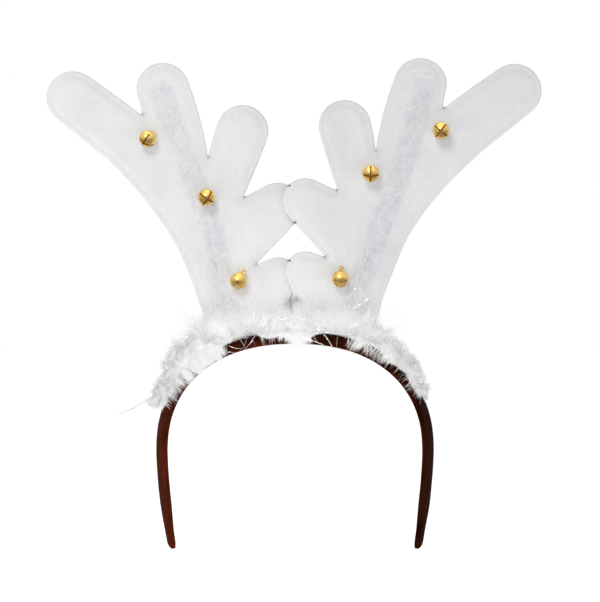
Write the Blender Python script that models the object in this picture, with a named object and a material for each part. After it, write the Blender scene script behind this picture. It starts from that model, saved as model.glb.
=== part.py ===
"""Reindeer antler headband: a satin-covered strip bent to the arch of a head,
a pair of sewn felt antlers with a flat stiffener in each, six jingle bells
and a fluffy trim along the top of the strip.

Frame: metres, +Z up, +X to the wearer's left, +Y to the back.  The origin is
the top centre of the strip's inner face, where it sits on the head.
All sizes below are millimetres.
"""

import math

import bmesh
import bpy
from mathutils import Matrix, Vector, geometry

MM = 0.001
GAP = 0.3  # between pieces that touch

# ---- headband: inner face at the middle of its width ----------------------
BAND_HALF_SPAN = 80.9  # centre plane to the widest place
BAND_RISE = 68.4  # widest place up to the top
BAND_POWER = 2.25  # squareness of the arch
LEG_DROP = 61.0  # widest place down to the ends
LEG_TUCK = 6.5  # how far the ends turn in
LEG_POWER = 1.6
BAND_WIDTH = 22.0
BAND_END_WIDTH = 14.0
BAND_THICK = 3.2
BAND_CROWN = 0.3  # padding under the satin, middle of the outer face
BAND_TILT = math.radians(18.0)  # outer face turned towards the front

# ---- antlers ---------------------------------------------------------------
FELT = 1.3  # thickness of one layer
PUFF = 1.0  # how far each layer stands off the seam plane
SEAM = 0.8  # flat rim
PUFF_RUN = 4.2
RIM_RING = 4.0  # distance of the first inner ring of mesh points
GRID = 10.0
EDGE_STEP = 6.0
LEAN_BACK = 4.0  # at the tips
CROSSING = 3.6  # inner tines of the two antlers pass before and behind
CROSS_OUT = 35.0
CROSS_UP = 17.0
BASE_LIFT = 4.9  # bottom edge above the strip's inner face

# One row a tine, outermost first.  out: from the centre plane, up: above the
# origin, r: radius of the round tip, crotch_*: the notch that ends the tine
# on the side of the next one.
TINE_COLUMNS = ("out", "up", "r", "crotch_out", "crotch_up")
RIGHT_TINES = (
    (136.4, 154.6, 16.7, 92.0, 144.0),
    (77.9, 158.4, 16.4, 49.9, 117.0),
    (31.0, 132.4, 16.2, 26.0, 92.7),
    (6.2, 85.9, 14.0, 18.6, 51.1),
    (6.2, 42.5, 12.1, -1.5, 28.8),
)
LEFT_TINES = (
    (138.0, 150.3, 16.3, 94.9, 139.6),
    (82.1, 155.6, 16.3, 53.9, 113.2),
    (32.6, 129.6, 16.0, 31.6, 88.4),
    (10.6, 82.6, 14.8, 23.8, 46.5),
    (10.2, 38.4, 12.7, 2.9, 26.4),
)
# Outer edge of the beam, from just above the strip to the outermost tine.
BEAM_COLUMNS = ("out", "up")
RIGHT_BEAM = (
    (46.0, 0.0),
    (51.1, 13.3),
    (54.9, 27.0),
    (61.5, 44.0),
    (69.5, 62.6),
    (81.6, 80.9),
    (96.8, 98.5),
    (114.9, 115.9),
)
LEFT_BEAM = (
    (50.6, 0.0),
    (56.1, 14.5),
    (59.9, 24.5),
    (66.6, 43.1),
    (74.6, 60.5),
    (86.6, 78.4),
    (100.1, 95.2),
    (115.0, 110.7),
)
RIGHT_INNER_FOOT = -1.9  # out, where the inner edge meets the strip
LEFT_INNER_FOOT = 2.9

# ---- stiffener: centre line, one row a bend --------------------------------
STRIP_WIDTH = 12.4
STRIP_THICK = 1.0
RIGHT_STRIP = (
    (34.0, 8.6),
    (38.5, 30.0),
    (45.5, 50.0),
    (52.5, 69.5),
    (60.0, 89.0),
    (66.5, 106.5),
    (72.5, 126.0),
    (78.0, 146.0),
    (80.4, 162.0),
)
LEFT_STRIP = (
    (40.5, 8.0),
    (43.6, 25.0),
    (46.6, 42.0),
    (50.6, 64.0),
    (56.5, 82.0),
    (64.5, 104.0),
    (71.5, 123.0),
    (80.5, 145.5),
    (83.4, 160.0),
)

# ---- bells -----------------------------------------------------------------
BELL_R = 5.2
BELL_WALL = 0.45
SLIT_WIDTH = 0.9
SLIT_TOP = 0.36  # height of the slit's round ends below the middle, of BELL_R
SLIT_HOLE_R = 0.85
LOOP_R = 1.5
LOOP_WIRE_R = 0.42
# side: which antler carries it.  loop_*: direction of the loop.  arm_*:
# direction of one arm of the cross slit.
BELL_COLUMNS = (
    "side", "out", "up",
    "loop_x", "loop_y", "loop_z",
    "arm_x", "arm_y", "arm_z",
)
BELLS = (
    (-1, 91.0, 124.0, 0.45, 0.70, 0.55, 0.6, -0.2, -0.6),
    (-1, 54.6, 87.7, -0.20, 0.95, 0.25, 0.5, 0.0, 0.8),
    (-1, 34.9, 36.3, 0.42, 0.15, 0.90, 1.0, 0.0, -0.4),
    (1, 90.0, 129.0, 0.10, 0.98, 0.15, 0.75, 0.0, -0.62),
    (1, 46.7, 102.5, 0.05, 0.92, 0.38, 1.0, 0.0, 0.0),
    (1, 28.0, 37.5, 0.10, 0.12, 0.98, 0.7, 0.7, 0.0),
)

# ---- fluffy trim: one row a section along the arch -------------------------
# along: from the top centre, height: above the strip's outer face,
# front and rear: its reach along Y.
TRIM_SIDES = 14
TRIM_COLUMNS = ("along", "height", "front", "rear")
TRIM_FRONT = (
    (-94.0, 4.0, -4.0, 3.5),
    (-92.5, 9.0, -9.0, 7.5),
    (-88.0, 12.5, -12.5, 10.0),
    (-80.0, 14.0, -13.5, 11.0),
    (-70.0, 17.0, -14.0, 11.5),
    (-60.0, 18.5, -14.5, 11.5),
    (-55.0, 20.0, -14.8, 7.0),
    (-51.5, 20.5, -15.2, -1.5),
    (-49.0, 20.5, -15.5, -3.3),
    (-40.0, 17.0, -16.0, -3.3),
    (-25.0, 13.5, -16.0, -3.3),
    (0.0, 12.0, -16.0, -3.3),
    (25.0, 13.5, -16.0, -3.3),
    (40.0, 17.0, -16.0, -3.3),
    (46.5, 18.5, -15.5, -3.3),
    (49.0, 18.0, -15.2, -1.5),
    (53.0, 16.0, -14.8, 7.0),
    (58.0, 13.5, -14.5, 11.0),
    (68.0, 11.5, -13.5, 11.0),
    (76.0, 9.5, -12.5, 10.5),
    (83.0, 8.0, -11.0, 9.0),
    (87.0, 6.0, -8.0, 6.5),
    (88.5, 3.0, -3.5, 3.0),
)
TRIM_BACK = (
    (-47.5, 3.0, 7.5, 11.0),
    (-46.5, 8.0, 5.5, 13.5),
    (-43.0, 13.5, 3.8, 15.0),
    (-34.0, 15.5, 3.3, 15.8),
    (-20.0, 14.5, 3.3, 16.0),
    (0.0, 13.0, 3.3, 16.0),
    (20.0, 14.5, 3.3, 16.0),
    (34.0, 15.5, 3.3, 15.8),
    (41.0, 13.5, 3.8, 15.0),
    (44.5, 8.0, 5.5, 13.5),
    (45.5, 3.0, 7.5, 11.0),
)
TRIM_STEP = 6.0

# ---- colours ---------------------------------------------------------------
SATIN = (0.055, 0.014, 0.007)
FELT_WHITE = (0.80, 0.82, 0.84)
STRIP_BLUE = (0.55, 0.60, 0.66)
GOLD = (0.72, 0.42, 0.10)
FLUFF = (0.88, 0.89, 0.90)


def smooth(t):
    t = min(max(t, 0.0), 1.0)
    return t * t * (3.0 - 2.0 * t)


def mix(a, b, t):
    return a + (b - a) * t


def material(name, colour, rough, metal=0.0):
    mat = bpy.data.materials.new(name)
    mat.use_nodes = True
    shader = mat.node_tree.nodes["Principled BSDF"]
    shader.inputs["Base Color"].default_value = (*colour, 1.0)
    shader.inputs["Roughness"].default_value = rough
    shader.inputs["Metallic"].default_value = metal
    mat.diffuse_color = (*colour, 1.0)
    return mat


def add_object(name, mesh, mat, parent, sharp=None):
    if mat.name not in [m.name for m in mesh.materials if m]:
        mesh.materials.append(mat)
    mesh.shade_smooth()
    if sharp is not None:
        mesh.set_sharp_from_angle(angle=math.radians(sharp))
    ob = bpy.data.objects.new(name, mesh)
    bpy.context.scene.collection.objects.link(ob)
    ob.parent = parent
    return ob


def mesh_from(name, points, faces):
    """A mesh from points in millimetres, its faces turned outwards."""
    mesh = bpy.data.meshes.new(name)
    mesh.from_pydata([Vector(p) * MM for p in points], [], faces)
    bm = bmesh.new()
    bm.from_mesh(mesh)
    bmesh.ops.recalc_face_normals(bm, faces=bm.faces)
    bm.to_mesh(mesh)
    bm.free()
    return mesh


def loft(name, rings):
    """A closed solid through rings of equally many points."""
    count = len(rings[0])
    points = [p for ring in rings for p in ring]
    faces = []
    for i in range(len(rings) - 1):
        a, b = i * count, (i + 1) * count
        for j in range(count):
            k = (j + 1) % count
            faces.append((a + j, a + k, b + k, b + j))
    faces.append(tuple(range(count)))
    faces.append(tuple((len(rings) - 1) * count + j for j in range(count)))
    return mesh_from(name, points, faces)


def through(rows, step):
    """A smooth curve through the rows, with a point about every step."""
    path = []
    last = len(rows) - 1
    for i in range(last):
        p0, p1 = rows[max(i - 1, 0)], rows[i]
        p2, p3 = rows[i + 1], rows[min(i + 2, last)]
        n = max(1, round(math.dist(p1, p2) / step))
        for k in range(n):
            t = k / n
            path.append(tuple(
                0.5 * (2 * b + (c - a) * t + (2 * a - 5 * b + 4 * c - d) * t * t
                       + (3 * b - a - 3 * c + d) * t ** 3)
                for a, b, c, d in zip(p0, p1, p2, p3)
            ))
    path.append(tuple(rows[-1]))
    return path


# ---- the arch of the strip ---------------------------------------------------
def half_arch():
    pts = []
    for i in range(361):
        q = math.radians(90.0 * i / 360)
        c = max(math.cos(q), 0.0)
        pts.append((BAND_HALF_SPAN * math.sin(q) ** (2 / BAND_POWER),
                    BAND_RISE * (c ** (2 / BAND_POWER) - 1.0)))
    for i in range(1, 121):
        u = i / 120
        pts.append((BAND_HALF_SPAN - LEG_TUCK * u ** LEG_POWER,
                    -BAND_RISE - LEG_DROP * u))
    return pts


ARCH = half_arch()
ARCH_LENGTHS = [0.0]
for one, two in zip(ARCH, ARCH[1:]):
    ARCH_LENGTHS.append(ARCH_LENGTHS[-1] + math.dist(one, two))
HALF_LENGTH = ARCH_LENGTHS[-1]


def arch_point(along):
    s = min(abs(along), HALF_LENGTH)
    lo, hi = 0, len(ARCH) - 1
    while hi - lo > 1:
        mid = (lo + hi) // 2
        if ARCH_LENGTHS[mid] <= s:
            lo = mid
        else:
            hi = mid
    t = (s - ARCH_LENGTHS[lo]) / (ARCH_LENGTHS[hi] - ARCH_LENGTHS[lo])
    x = mix(ARCH[lo][0], ARCH[hi][0], t)
    z = mix(ARCH[lo][1], ARCH[hi][1], t)
    return (math.copysign(x, along), z)


def arch_at(along):
    """Place on the arch and its outward direction, both in the XZ plane."""
    a, b = arch_point(along - 1.0), arch_point(along + 1.0)
    d = math.dist(a, b)
    tx, tz = (b[0] - a[0]) / d, (b[1] - a[1]) / d
    x, z = arch_point(along)
    return x, z, -tz, tx


# ---- headband ----------------------------------------------------------------
def band_half_width(from_end):
    tip = BAND_END_WIDTH / 2
    if from_end < tip:
        return tip * math.sqrt(max(1.0 - ((tip - from_end) / tip) ** 2, 0.0))
    return mix(tip, BAND_WIDTH / 2, smooth((from_end - tip) / 22.0))


def band_ring(along):
    x, z, nx, nz = arch_at(along)
    from_end = max(HALF_LENGTH - abs(along), 0.12)
    half = band_half_width(from_end)
    thick = BAND_THICK * min(1.0, 0.45 + 0.55 * math.sqrt(from_end / 3.0))
    ring = []
    for k in range(14):
        q = 2 * math.pi * (k + 0.5) / 14
        c, s = math.cos(q), math.sin(q)
        w = half * math.copysign(abs(c) ** 0.55, c)
        m = thick / 2 * (1.0 + math.copysign(abs(s) ** 0.6, s))
        if s > 0:
            m += BAND_CROWN * (1.0 - (w / (half + 1e-6)) ** 2)
        y = w * math.cos(BAND_TILT) - m * math.sin(BAND_TILT)
        n = w * math.sin(BAND_TILT) + m * math.cos(BAND_TILT)
        ring.append((x + nx * n, y, z + nz * n))
    return ring


def band_stations():
    ends = (0.0, 0.5, 1.5, 3.2, 5.2, 7.5, 11.0, 15.0, 20.0, 26.0)
    left = [-(HALF_LENGTH - e) for e in ends]
    right = [-a for a in reversed(left)]
    inner = HALF_LENGTH - ends[-1]
    n = 36
    middle = [mix(-inner, inner, i / n) for i in range(1, n)]
    return left + middle + right


# ---- antlers -------------------------------------------------------------------
def line_points(a, b, step):
    n = max(1, math.ceil(math.dist(a, b) / step))
    return [(mix(a[0], b[0], i / n), mix(a[1], b[1], i / n)) for i in range(n)]


def touch_angle(row, point, sign):
    """Where a line from point touches the tip circle of a tine."""
    cx, cz, r = row[0], row[1], row[2]
    d = math.dist((cx, cz), point)
    away = math.atan2(point[1] - cz, point[0] - cx)
    return away + sign * math.acos(min(r / d, 1.0))


def outline(tines, beam, foot, side, step):
    """Rim of one antler, anticlockwise seen with out to the right."""
    edge = through(beam, step)
    first = touch_angle(tines[0], edge[-1], 1.0)
    rim = edge[:-1]
    before = edge[-1]
    for i, row in enumerate(tines):
        cx, cz, r = row[0], row[1], row[2]
        notch = (row[3], row[4])
        start = first if i == 0 else touch_angle(row, before, 1.0)
        stop = touch_angle(row, notch, -1.0)
        while stop < start:
            stop += 2 * math.pi
        while stop - start > 2 * math.pi:
            stop -= 2 * math.pi
        at = (cx + r * math.cos(start), cz + r * math.sin(start))
        rim += line_points(before, at, step)
        n = max(3, math.ceil(r * (stop - start) / (step * 0.85)))
        for k in range(n):
            q = mix(start, stop, k / n)
            rim.append((cx + r * math.cos(q), cz + r * math.sin(q)))
        leave = (cx + r * math.cos(stop), cz + r * math.sin(stop))
        rim += line_points(leave, notch, step)
        before = notch
    # down the inner edge and out along the strip
    base = []
    outer = beam[0][0]
    along = -20.0
    while along < 80.0:
        x, z, nx, nz = arch_at(along)
        out, up = x + nx * BASE_LIFT, z + nz * BASE_LIFT
        if foot < out < outer:
            base.append((out, up))
        along += step
    x0 = foot
    low = min(base, key=lambda p: p[0])
    rim += line_points(before, (x0, low[1]), step)
    rim.append((x0, low[1]))
    rim += [p for p in base if p[0] > x0 + 1.5 and p[0] < outer - 2.0]
    # drop points that lie too close together
    kept = []
    for p in rim:
        if not kept or math.dist(p, kept[-1]) > 0.25 * step:
            kept.append(p)
    while math.dist(kept[0], kept[-1]) < 0.25 * step:
        kept.pop()
    return kept


def distance_to(rim, p):
    best = 1e9
    for a, b in zip(rim, rim[1:] + rim[:1]):
        dx, dz = b[0] - a[0], b[1] - a[1]
        t = ((p[0] - a[0]) * dx + (p[1] - a[1]) * dz) / (dx * dx + dz * dz)
        t = min(max(t, 0.0), 1.0)
        best = min(best, math.dist(p, (a[0] + t * dx, a[1] + t * dz)))
    return best


def inside(rim, p):
    odd = False
    for a, b in zip(rim, rim[1:] + rim[:1]):
        if (a[1] > p[1]) != (b[1] > p[1]):
            if p[0] < a[0] + (p[1] - a[1]) * (b[0] - a[0]) / (b[1] - a[1]):
                odd = not odd
    return odd


def fill_points(rim):
    """A ring just inside the rim, and a staggered grid in the middle."""
    pts = []
    n = len(rim)
    for i in range(n):
        a, p, b = rim[i - 1], rim[i], rim[(i + 1) % n]
        tx, tz = b[0] - a[0], b[1] - a[1]
        length = math.hypot(tx, tz)
        q = (p[0] - tz / length * RIM_RING, p[1] + tx / length * RIM_RING)
        if inside(rim, q) and distance_to(rim, q) > 0.93 * RIM_RING:
            if all(math.dist(q, o) > 3.2 for o in pts):
                pts.append(q)
    ring = list(pts)
    row, z = 0, -20.0
    while z < 180.0:
        x = -20.0 + (GRID / 2 if row % 2 else 0.0)
        while x < 160.0:
            p = (x, z)
            if inside(rim, p) and distance_to(rim, p) > RIM_RING + 2.6:
                if all(math.dist(p, o) > 4.0 for o in ring):
                    pts.append(p)
            x += GRID
        z += GRID * 0.866
        row += 1
    return pts


def puff(d):
    return PUFF * smooth((d - SEAM) / PUFF_RUN)


def sway(side, out, up):
    """How far the seam plane of an antler stands off Y = 0."""
    lean = LEAN_BACK * (max(up, 0.0) / 170.0) ** 2
    cross = CROSSING * smooth((CROSS_OUT - out) / 25.0)
    cross *= smooth((up - CROSS_UP) / 20.0)
    return lean - side * cross


def antler_panel(name, rim, side, face):
    """One felt layer.  face is -1 for the front layer, +1 for the back."""
    fill = fill_points(rim)
    pts2 = [Vector(p) for p in rim + fill]
    n = len(rim)
    edges = [(i, (i + 1) % n) for i in range(n)]
    verts, _, tris, _, _, _ = geometry.delaunay_2d_cdt(pts2, edges, [], 1, 1e-6)
    near, far = [], []
    for v in verts:
        d = distance_to(rim, (v.x, v.y))
        mid = sway(side, v.x, v.y)
        stand = GAP / 2 + puff(d)
        near.append((side * v.x, mid + face * stand, v.y))
        far.append((side * v.x, mid + face * (stand + FELT), v.y))
    count = len(verts)
    faces = []
    for t in tris:
        faces.append(tuple(t))
        faces.append(tuple(count + i for i in reversed(t)))
    uses = {}
    for t in tris:
        for a, b in zip(t, list(t[1:]) + [t[0]]):
            uses[(a, b)] = True
    for a, b in uses:
        if (b, a) not in uses:
            faces.append((a, b, b + count, a + count))
    return mesh_from(name, near + far, faces)


def strip_mesh(name, rows, side):
    path = through(rows, 9.0)
    rings = []
    last = len(path) - 1
    stations = []
    for i, p in enumerate(path):
        a, b = path[max(i - 1, 0)], path[min(i + 1, last)]
        d = math.dist(a, b)
        stations.append((p, (b[0] - a[0]) / d, (b[1] - a[1]) / d))
    ends = ((0.0, 0.45), (1.2, 0.8), (3.6, 1.0))
    first, final = stations[0], stations[-1]
    line = []
    for run, share in ends:
        (x, z), tx, tz = first
        line.append(((x + tx * run, z + tz * run), tx, tz, share))
    line += [(*st, 1.0) for st in stations[1:-1]]
    for run, share in reversed(ends):
        (x, z), tx, tz = final
        line.append(((x - tx * run, z - tz * run), tx, tz, share))
    for (x, z), tx, tz, share in line:
        h = STRIP_WIDTH / 2 * share
        ring = []
        for w, y in ((-h, -0.5), (h, -0.5), (h, 0.5), (-h, 0.5)):
            out, up = x + tz * w, z - tx * w
            ring.append((side * out, sway(side, out, up) + y * STRIP_THICK, up))
        rings.append(ring)
    return loft(name, rings)


# ---- bell ------------------------------------------------------------------------
def ball(name, radius, around, along):
    mesh = bpy.data.meshes.new(name)
    bm = bmesh.new()
    bmesh.ops.create_uvsphere(bm, u_segments=around, v_segments=along,
                              radius=radius * MM)
    bm.to_mesh(mesh)
    bm.free()
    return mesh


def bar(name, size, middle):
    mesh = bpy.data.meshes.new(name)
    bm = bmesh.new()
    bmesh.ops.create_cube(bm, size=1.0)
    for v in bm.verts:
        v.co = Vector([v.co[i] * size[i] * MM + middle[i] * MM for i in range(3)])
    bm.to_mesh(mesh)
    bm.free()
    return mesh


def pin(name, radius, length, turn, middle):
    mesh = bpy.data.meshes.new(name)
    bm = bmesh.new()
    bmesh.ops.create_cone(bm, cap_ends=True, segments=8, radius1=radius * MM,
                          radius2=radius * MM, depth=length * MM)
    bm.transform(Matrix.Translation(Vector(middle) * MM) @ turn)
    bm.to_mesh(mesh)
    bm.free()
    return mesh


def wire_loop(name, major, minor, middle):
    around, across = 12, 6
    pts, faces = [], []
    for i in range(around):
        q = 2 * math.pi * i / around
        for j in range(across):
            p = 2 * math.pi * (j + 0.5) / across
            r = major + minor * math.cos(p)
            pts.append((middle[0] + r * math.cos(q), middle[1] + minor * math.sin(p),
                        middle[2] + r * math.sin(q)))
    for i in range(around):
        for j in range(across):
            a, b = i * across, ((i + 1) % around) * across
            k = (j + 1) % across
            faces.append((a + j, a + k, b + k, b + j))
    return mesh_from(name, pts, faces)


def bell_mesh():
    """Hollow ball with a cross slit below and a soldered loop above."""
    body = bpy.data.objects.new("bell_body", ball("bell_body", BELL_R, 16, 10))
    slit_z = -BELL_R * SLIT_TOP
    deep = BELL_R * 1.6
    x_turn = Matrix.Rotation(math.radians(90), 4, "Y")
    y_turn = Matrix.Rotation(math.radians(90), 4, "X")
    reach = 2.6 * BELL_R
    steps = (
        ("UNION", wire_loop("loop", LOOP_R, LOOP_WIRE_R, (0, 0, BELL_R + LOOP_R - 0.45))),
        ("DIFFERENCE", ball("hollow", BELL_R - BELL_WALL, 12, 8)),
        ("DIFFERENCE", bar("slit_x", (reach, SLIT_WIDTH, deep), (0, 0, slit_z - deep / 2))),
        ("DIFFERENCE", bar("slit_y", (SLIT_WIDTH, reach, deep), (0, 0, slit_z - deep / 2))),
        ("DIFFERENCE", pin("end_x", SLIT_HOLE_R, reach, x_turn, (0, 0, slit_z))),
        ("DIFFERENCE", pin("end_y", SLIT_HOLE_R, reach, y_turn, (0, 0, slit_z))),
    )
    scene = bpy.context.scene.collection.objects
    scene.link(body)
    tools = []
    for kind, mesh in steps:
        tool = bpy.data.objects.new(mesh.name, mesh)
        tool.hide_render = True
        tool.display_type = "WIRE"
        scene.link(tool)
        tools.append(tool)
        cut = body.modifiers.new(mesh.name, "BOOLEAN")
        cut.operation = kind
        cut.object = tool
    bpy.context.view_layer.update()
    seen = body.evaluated_get(bpy.context.evaluated_depsgraph_get())
    done = bpy.data.meshes.new_from_object(seen)
    done.name = "bell"
    for ob in tools + [body]:
        bpy.data.objects.remove(ob)
    return done


def turned(loop, arm):
    """Rotation that points a bell's loop and one arm of its slit."""
    up = Vector(loop).normalized()
    x = Vector(arm)
    x = (x - up * x.dot(up)).normalized()
    y = up.cross(x)
    return Matrix((x, y, up)).transposed().to_4x4()


# ---- fluffy trim -------------------------------------------------------------------
def trim_mesh(name, rows):
    stations = []
    last = len(rows) - 1
    for i in range(last):
        n = max(1, round((rows[i + 1][0] - rows[i][0]) / TRIM_STEP))
        for k in range(n):
            t = k / n
            stations.append(tuple(mix(a, b, t) for a, b in zip(rows[i], rows[i + 1])))
    stations.append(rows[-1])
    lean = math.tan(BAND_TILT)
    floor = (BAND_THICK + BAND_CROWN) / math.cos(BAND_TILT) + GAP
    rings = []
    for along, height, front, rear in stations:
        x, z, nx, nz = arch_at(along)
        ring = []
        for k in range(TRIM_SIDES):
            q = 2 * math.pi * (k + 0.5) / TRIM_SIDES
            c, s = math.cos(q), math.sin(q)
            y = (front + rear) / 2 + (rear - front) / 2 * math.copysign(abs(c) ** 0.87, c)
            n = floor + lean * y
            n += height / 2 * (1.0 + math.copysign(abs(s) ** 0.87, s))
            ring.append((x + nx * n, y, z + nz * n))
        rings.append(ring)
    return loft(name, rings)


def build():
    for ob in list(bpy.data.objects):
        bpy.data.objects.remove(ob)

    root = bpy.data.objects.new("antler_headband", None)
    bpy.context.scene.collection.objects.link(root)

    satin = material("satin", SATIN, 0.38)
    felt = material("felt", FELT_WHITE, 0.9)
    strip = material("stiffener", STRIP_BLUE, 0.5)
    gold = material("gold", GOLD, 0.22, 1.0)
    fluff = material("fluff", FLUFF, 0.95)

    add_object("headband", loft("headband", [band_ring(a) for a in band_stations()]),
               satin, root, sharp=50)

    sides = (
        ("left", -1, LEFT_TINES, LEFT_BEAM, LEFT_INNER_FOOT, LEFT_STRIP),
        ("right", 1, RIGHT_TINES, RIGHT_BEAM, RIGHT_INNER_FOOT, RIGHT_STRIP),
    )
    for word, side, tines, beam, foot, rows in sides:
        rim = outline(tines, beam, foot, side, EDGE_STEP)
        for layer, face in (("front", -1), ("back", 1)):
            name = f"antler_{word}_{layer}"
            add_object(name, antler_panel(name, rim, side, face), felt, root, sharp=40)
        name = f"antler_{word}_stiffener"
        add_object(name, strip_mesh(name, rows, side), strip, root, sharp=30)

    bell = bell_mesh()
    for number, (side, out, up, lx, ly, lz, ax, ay, az) in enumerate(BELLS, 1):
        turn = turned((lx, ly, lz), (ax, ay, az))
        reach = max((turn @ v.co).y for v in bell.vertices)
        face = (sway(side, out, up) - GAP / 2 - PUFF - FELT - GAP - 0.15) * MM
        place = Vector((side * out * MM, face - reach, up * MM))
        ob = add_object(f"bell_{number}", bell, gold, root, sharp=40)
        ob.matrix_local = Matrix.Translation(place) @ turn

    add_object("fur_trim_front", trim_mesh("fur_trim_front", TRIM_FRONT), fluff, root)
    add_object("fur_trim_back", trim_mesh("fur_trim_back", TRIM_BACK), fluff, root)


build()
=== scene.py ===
import math

import bmesh
import bpy
import numpy as np
from mathutils import Matrix, Vector, geometry, noise


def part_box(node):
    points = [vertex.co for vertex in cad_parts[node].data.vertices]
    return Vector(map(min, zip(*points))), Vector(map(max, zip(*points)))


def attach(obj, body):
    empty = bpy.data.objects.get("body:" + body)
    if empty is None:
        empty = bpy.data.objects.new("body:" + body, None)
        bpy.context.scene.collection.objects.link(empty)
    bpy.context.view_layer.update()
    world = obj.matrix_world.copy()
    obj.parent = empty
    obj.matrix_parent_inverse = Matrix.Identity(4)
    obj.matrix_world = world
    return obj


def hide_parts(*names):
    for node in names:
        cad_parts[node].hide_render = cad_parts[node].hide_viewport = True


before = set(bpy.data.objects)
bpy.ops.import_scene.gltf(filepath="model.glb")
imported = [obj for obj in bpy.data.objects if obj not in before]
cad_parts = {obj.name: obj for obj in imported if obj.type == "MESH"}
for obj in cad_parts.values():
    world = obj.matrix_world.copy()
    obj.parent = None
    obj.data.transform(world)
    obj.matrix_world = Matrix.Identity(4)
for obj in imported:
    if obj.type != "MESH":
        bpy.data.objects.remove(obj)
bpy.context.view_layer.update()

MM = 0.001
RNG = np.random.default_rng(20)

# =============================================================================
# Sizes shared with the solids, in millimetres
# =============================================================================
GAP = 0.3
BAND_HALF_SPAN, BAND_RISE, BAND_POWER = 80.9, 68.4, 2.25
LEG_DROP, LEG_TUCK, LEG_POWER = 61.0, 6.5, 1.6
BAND_WIDTH, BAND_END_WIDTH, BAND_THICK = 22.0, 14.0, 3.2
BAND_CROWN, BAND_TILT = 0.3, math.radians(18.0)
FELT, PUFF, SEAM, PUFF_RUN = 1.3, 1.0, 0.8, 4.2
LEAN_BACK, CROSSING, CROSS_OUT, CROSS_UP = 4.0, 3.6, 35.0, 17.0
BASE_LIFT = 4.9

# out, up, r, crotch_out, crotch_up
RIGHT_TINES = (
    (136.4, 154.6, 16.7, 92.0, 144.0),
    (77.9, 158.4, 16.4, 49.9, 117.0),
    (31.0, 132.4, 16.2, 26.0, 92.7),
    (6.2, 85.9, 14.0, 18.6, 51.1),
    (6.2, 42.5, 12.1, -1.5, 28.8),
)
LEFT_TINES = (
    (138.0, 150.3, 16.3, 94.9, 139.6),
    (82.1, 155.6, 16.3, 53.9, 113.2),
    (32.6, 129.6, 16.0, 31.6, 88.4),
    (10.6, 82.6, 14.8, 23.8, 46.5),
    (10.2, 38.4, 12.7, 2.9, 26.4),
)
# out, up
RIGHT_BEAM = (
    (46.0, 0.0), (51.1, 13.3), (54.9, 27.0), (61.5, 44.0),
    (69.5, 62.6), (81.6, 80.9), (96.8, 98.5), (114.9, 115.9),
)
LEFT_BEAM = (
    (50.6, 0.0), (56.1, 14.5), (59.9, 24.5), (66.6, 43.1),
    (74.6, 60.5), (86.6, 78.4), (100.1, 95.2), (115.0, 110.7),
)
RIGHT_INNER_FOOT, LEFT_INNER_FOOT = -1.9, 2.9
STRIP_WIDTH = 12.4
RIGHT_STRIP = (
    (34.0, 8.6), (38.5, 30.0), (45.5, 50.0), (52.5, 69.5), (60.0, 89.0),
    (66.5, 106.5), (72.5, 126.0), (78.0, 146.0), (80.4, 162.0),
)
LEFT_STRIP = (
    (40.5, 8.0), (43.6, 25.0), (46.6, 42.0), (50.6, 64.0), (56.5, 82.0),
    (64.5, 104.0), (71.5, 123.0), (80.5, 145.5), (83.4, 160.0),
)
BELL_R, BELL_WALL, SLIT_WIDTH, SLIT_TOP = 5.2, 0.45, 1.15, 0.36
SLIT_HOLE_R, LOOP_R, LOOP_WIRE_R = 0.95, 1.5, 0.42
# side, out, up, loop direction, direction of one arm of the slit
BELLS = (
    (-1, 91.0, 124.0, 0.45, 0.70, 0.55, 0.6, -0.2, -0.6),
    (-1, 54.6, 87.7, -0.20, 0.95, 0.25, 0.5, 0.0, 0.8),
    (-1, 34.9, 36.3, 0.42, 0.15, 0.90, 1.0, 0.0, -0.4),
    (1, 90.0, 129.0, 0.10, 0.98, 0.15, 0.75, 0.0, -0.62),
    (1, 46.7, 102.5, 0.05, 0.92, 0.38, 1.0, 0.0, 0.0),
    (1, 28.0, 37.5, 0.10, 0.12, 0.98, 0.7, 0.7, 0.0),
)
# along, height, front, rear
TRIM_FRONT = (
    (-94.0, 4.0, -4.0, 3.5), (-92.5, 9.0, -9.0, 7.5), (-88.0, 12.5, -12.5, 10.0),
    (-80.0, 14.0, -13.5, 11.0), (-70.0, 17.0, -14.0, 11.5), (-60.0, 18.5, -14.5, 11.5),
    (-55.0, 20.0, -14.8, 7.0), (-51.5, 20.5, -15.2, -1.5), (-49.0, 20.5, -15.5, -3.3),
    (-40.0, 17.0, -16.0, -3.3), (-25.0, 13.5, -16.0, -3.3), (0.0, 12.0, -16.0, -3.3),
    (25.0, 13.5, -16.0, -3.3), (40.0, 17.0, -16.0, -3.3), (46.5, 18.5, -15.5, -3.3),
    (49.0, 18.0, -15.2, -1.5), (53.0, 16.0, -14.8, 7.0), (58.0, 13.5, -14.5, 11.0),
    (68.0, 11.5, -13.5, 11.0), (76.0, 9.5, -12.5, 10.5), (83.0, 8.0, -11.0, 9.0),
    (87.0, 6.0, -8.0, 6.5), (88.5, 3.0, -3.5, 3.0),
)
TRIM_BACK = (
    (-47.5, 3.0, 7.5, 11.0), (-46.5, 8.0, 5.5, 13.5), (-43.0, 13.5, 3.8, 15.0),
    (-34.0, 15.5, 3.3, 15.8), (-20.0, 14.5, 3.3, 16.0), (0.0, 13.0, 3.3, 16.0),
    (20.0, 14.5, 3.3, 16.0), (34.0, 15.5, 3.3, 15.8), (41.0, 13.5, 3.8, 15.0),
    (44.5, 8.0, 5.5, 13.5), (45.5, 3.0, 7.5, 11.0),
)

# =============================================================================
# Small helpers
# =============================================================================


def mix(a, b, t):
    return a + (b - a) * t


def smooth(t):
    t = np.clip(t, 0.0, 1.0)
    return t * t * (3.0 - 2.0 * t)


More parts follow.
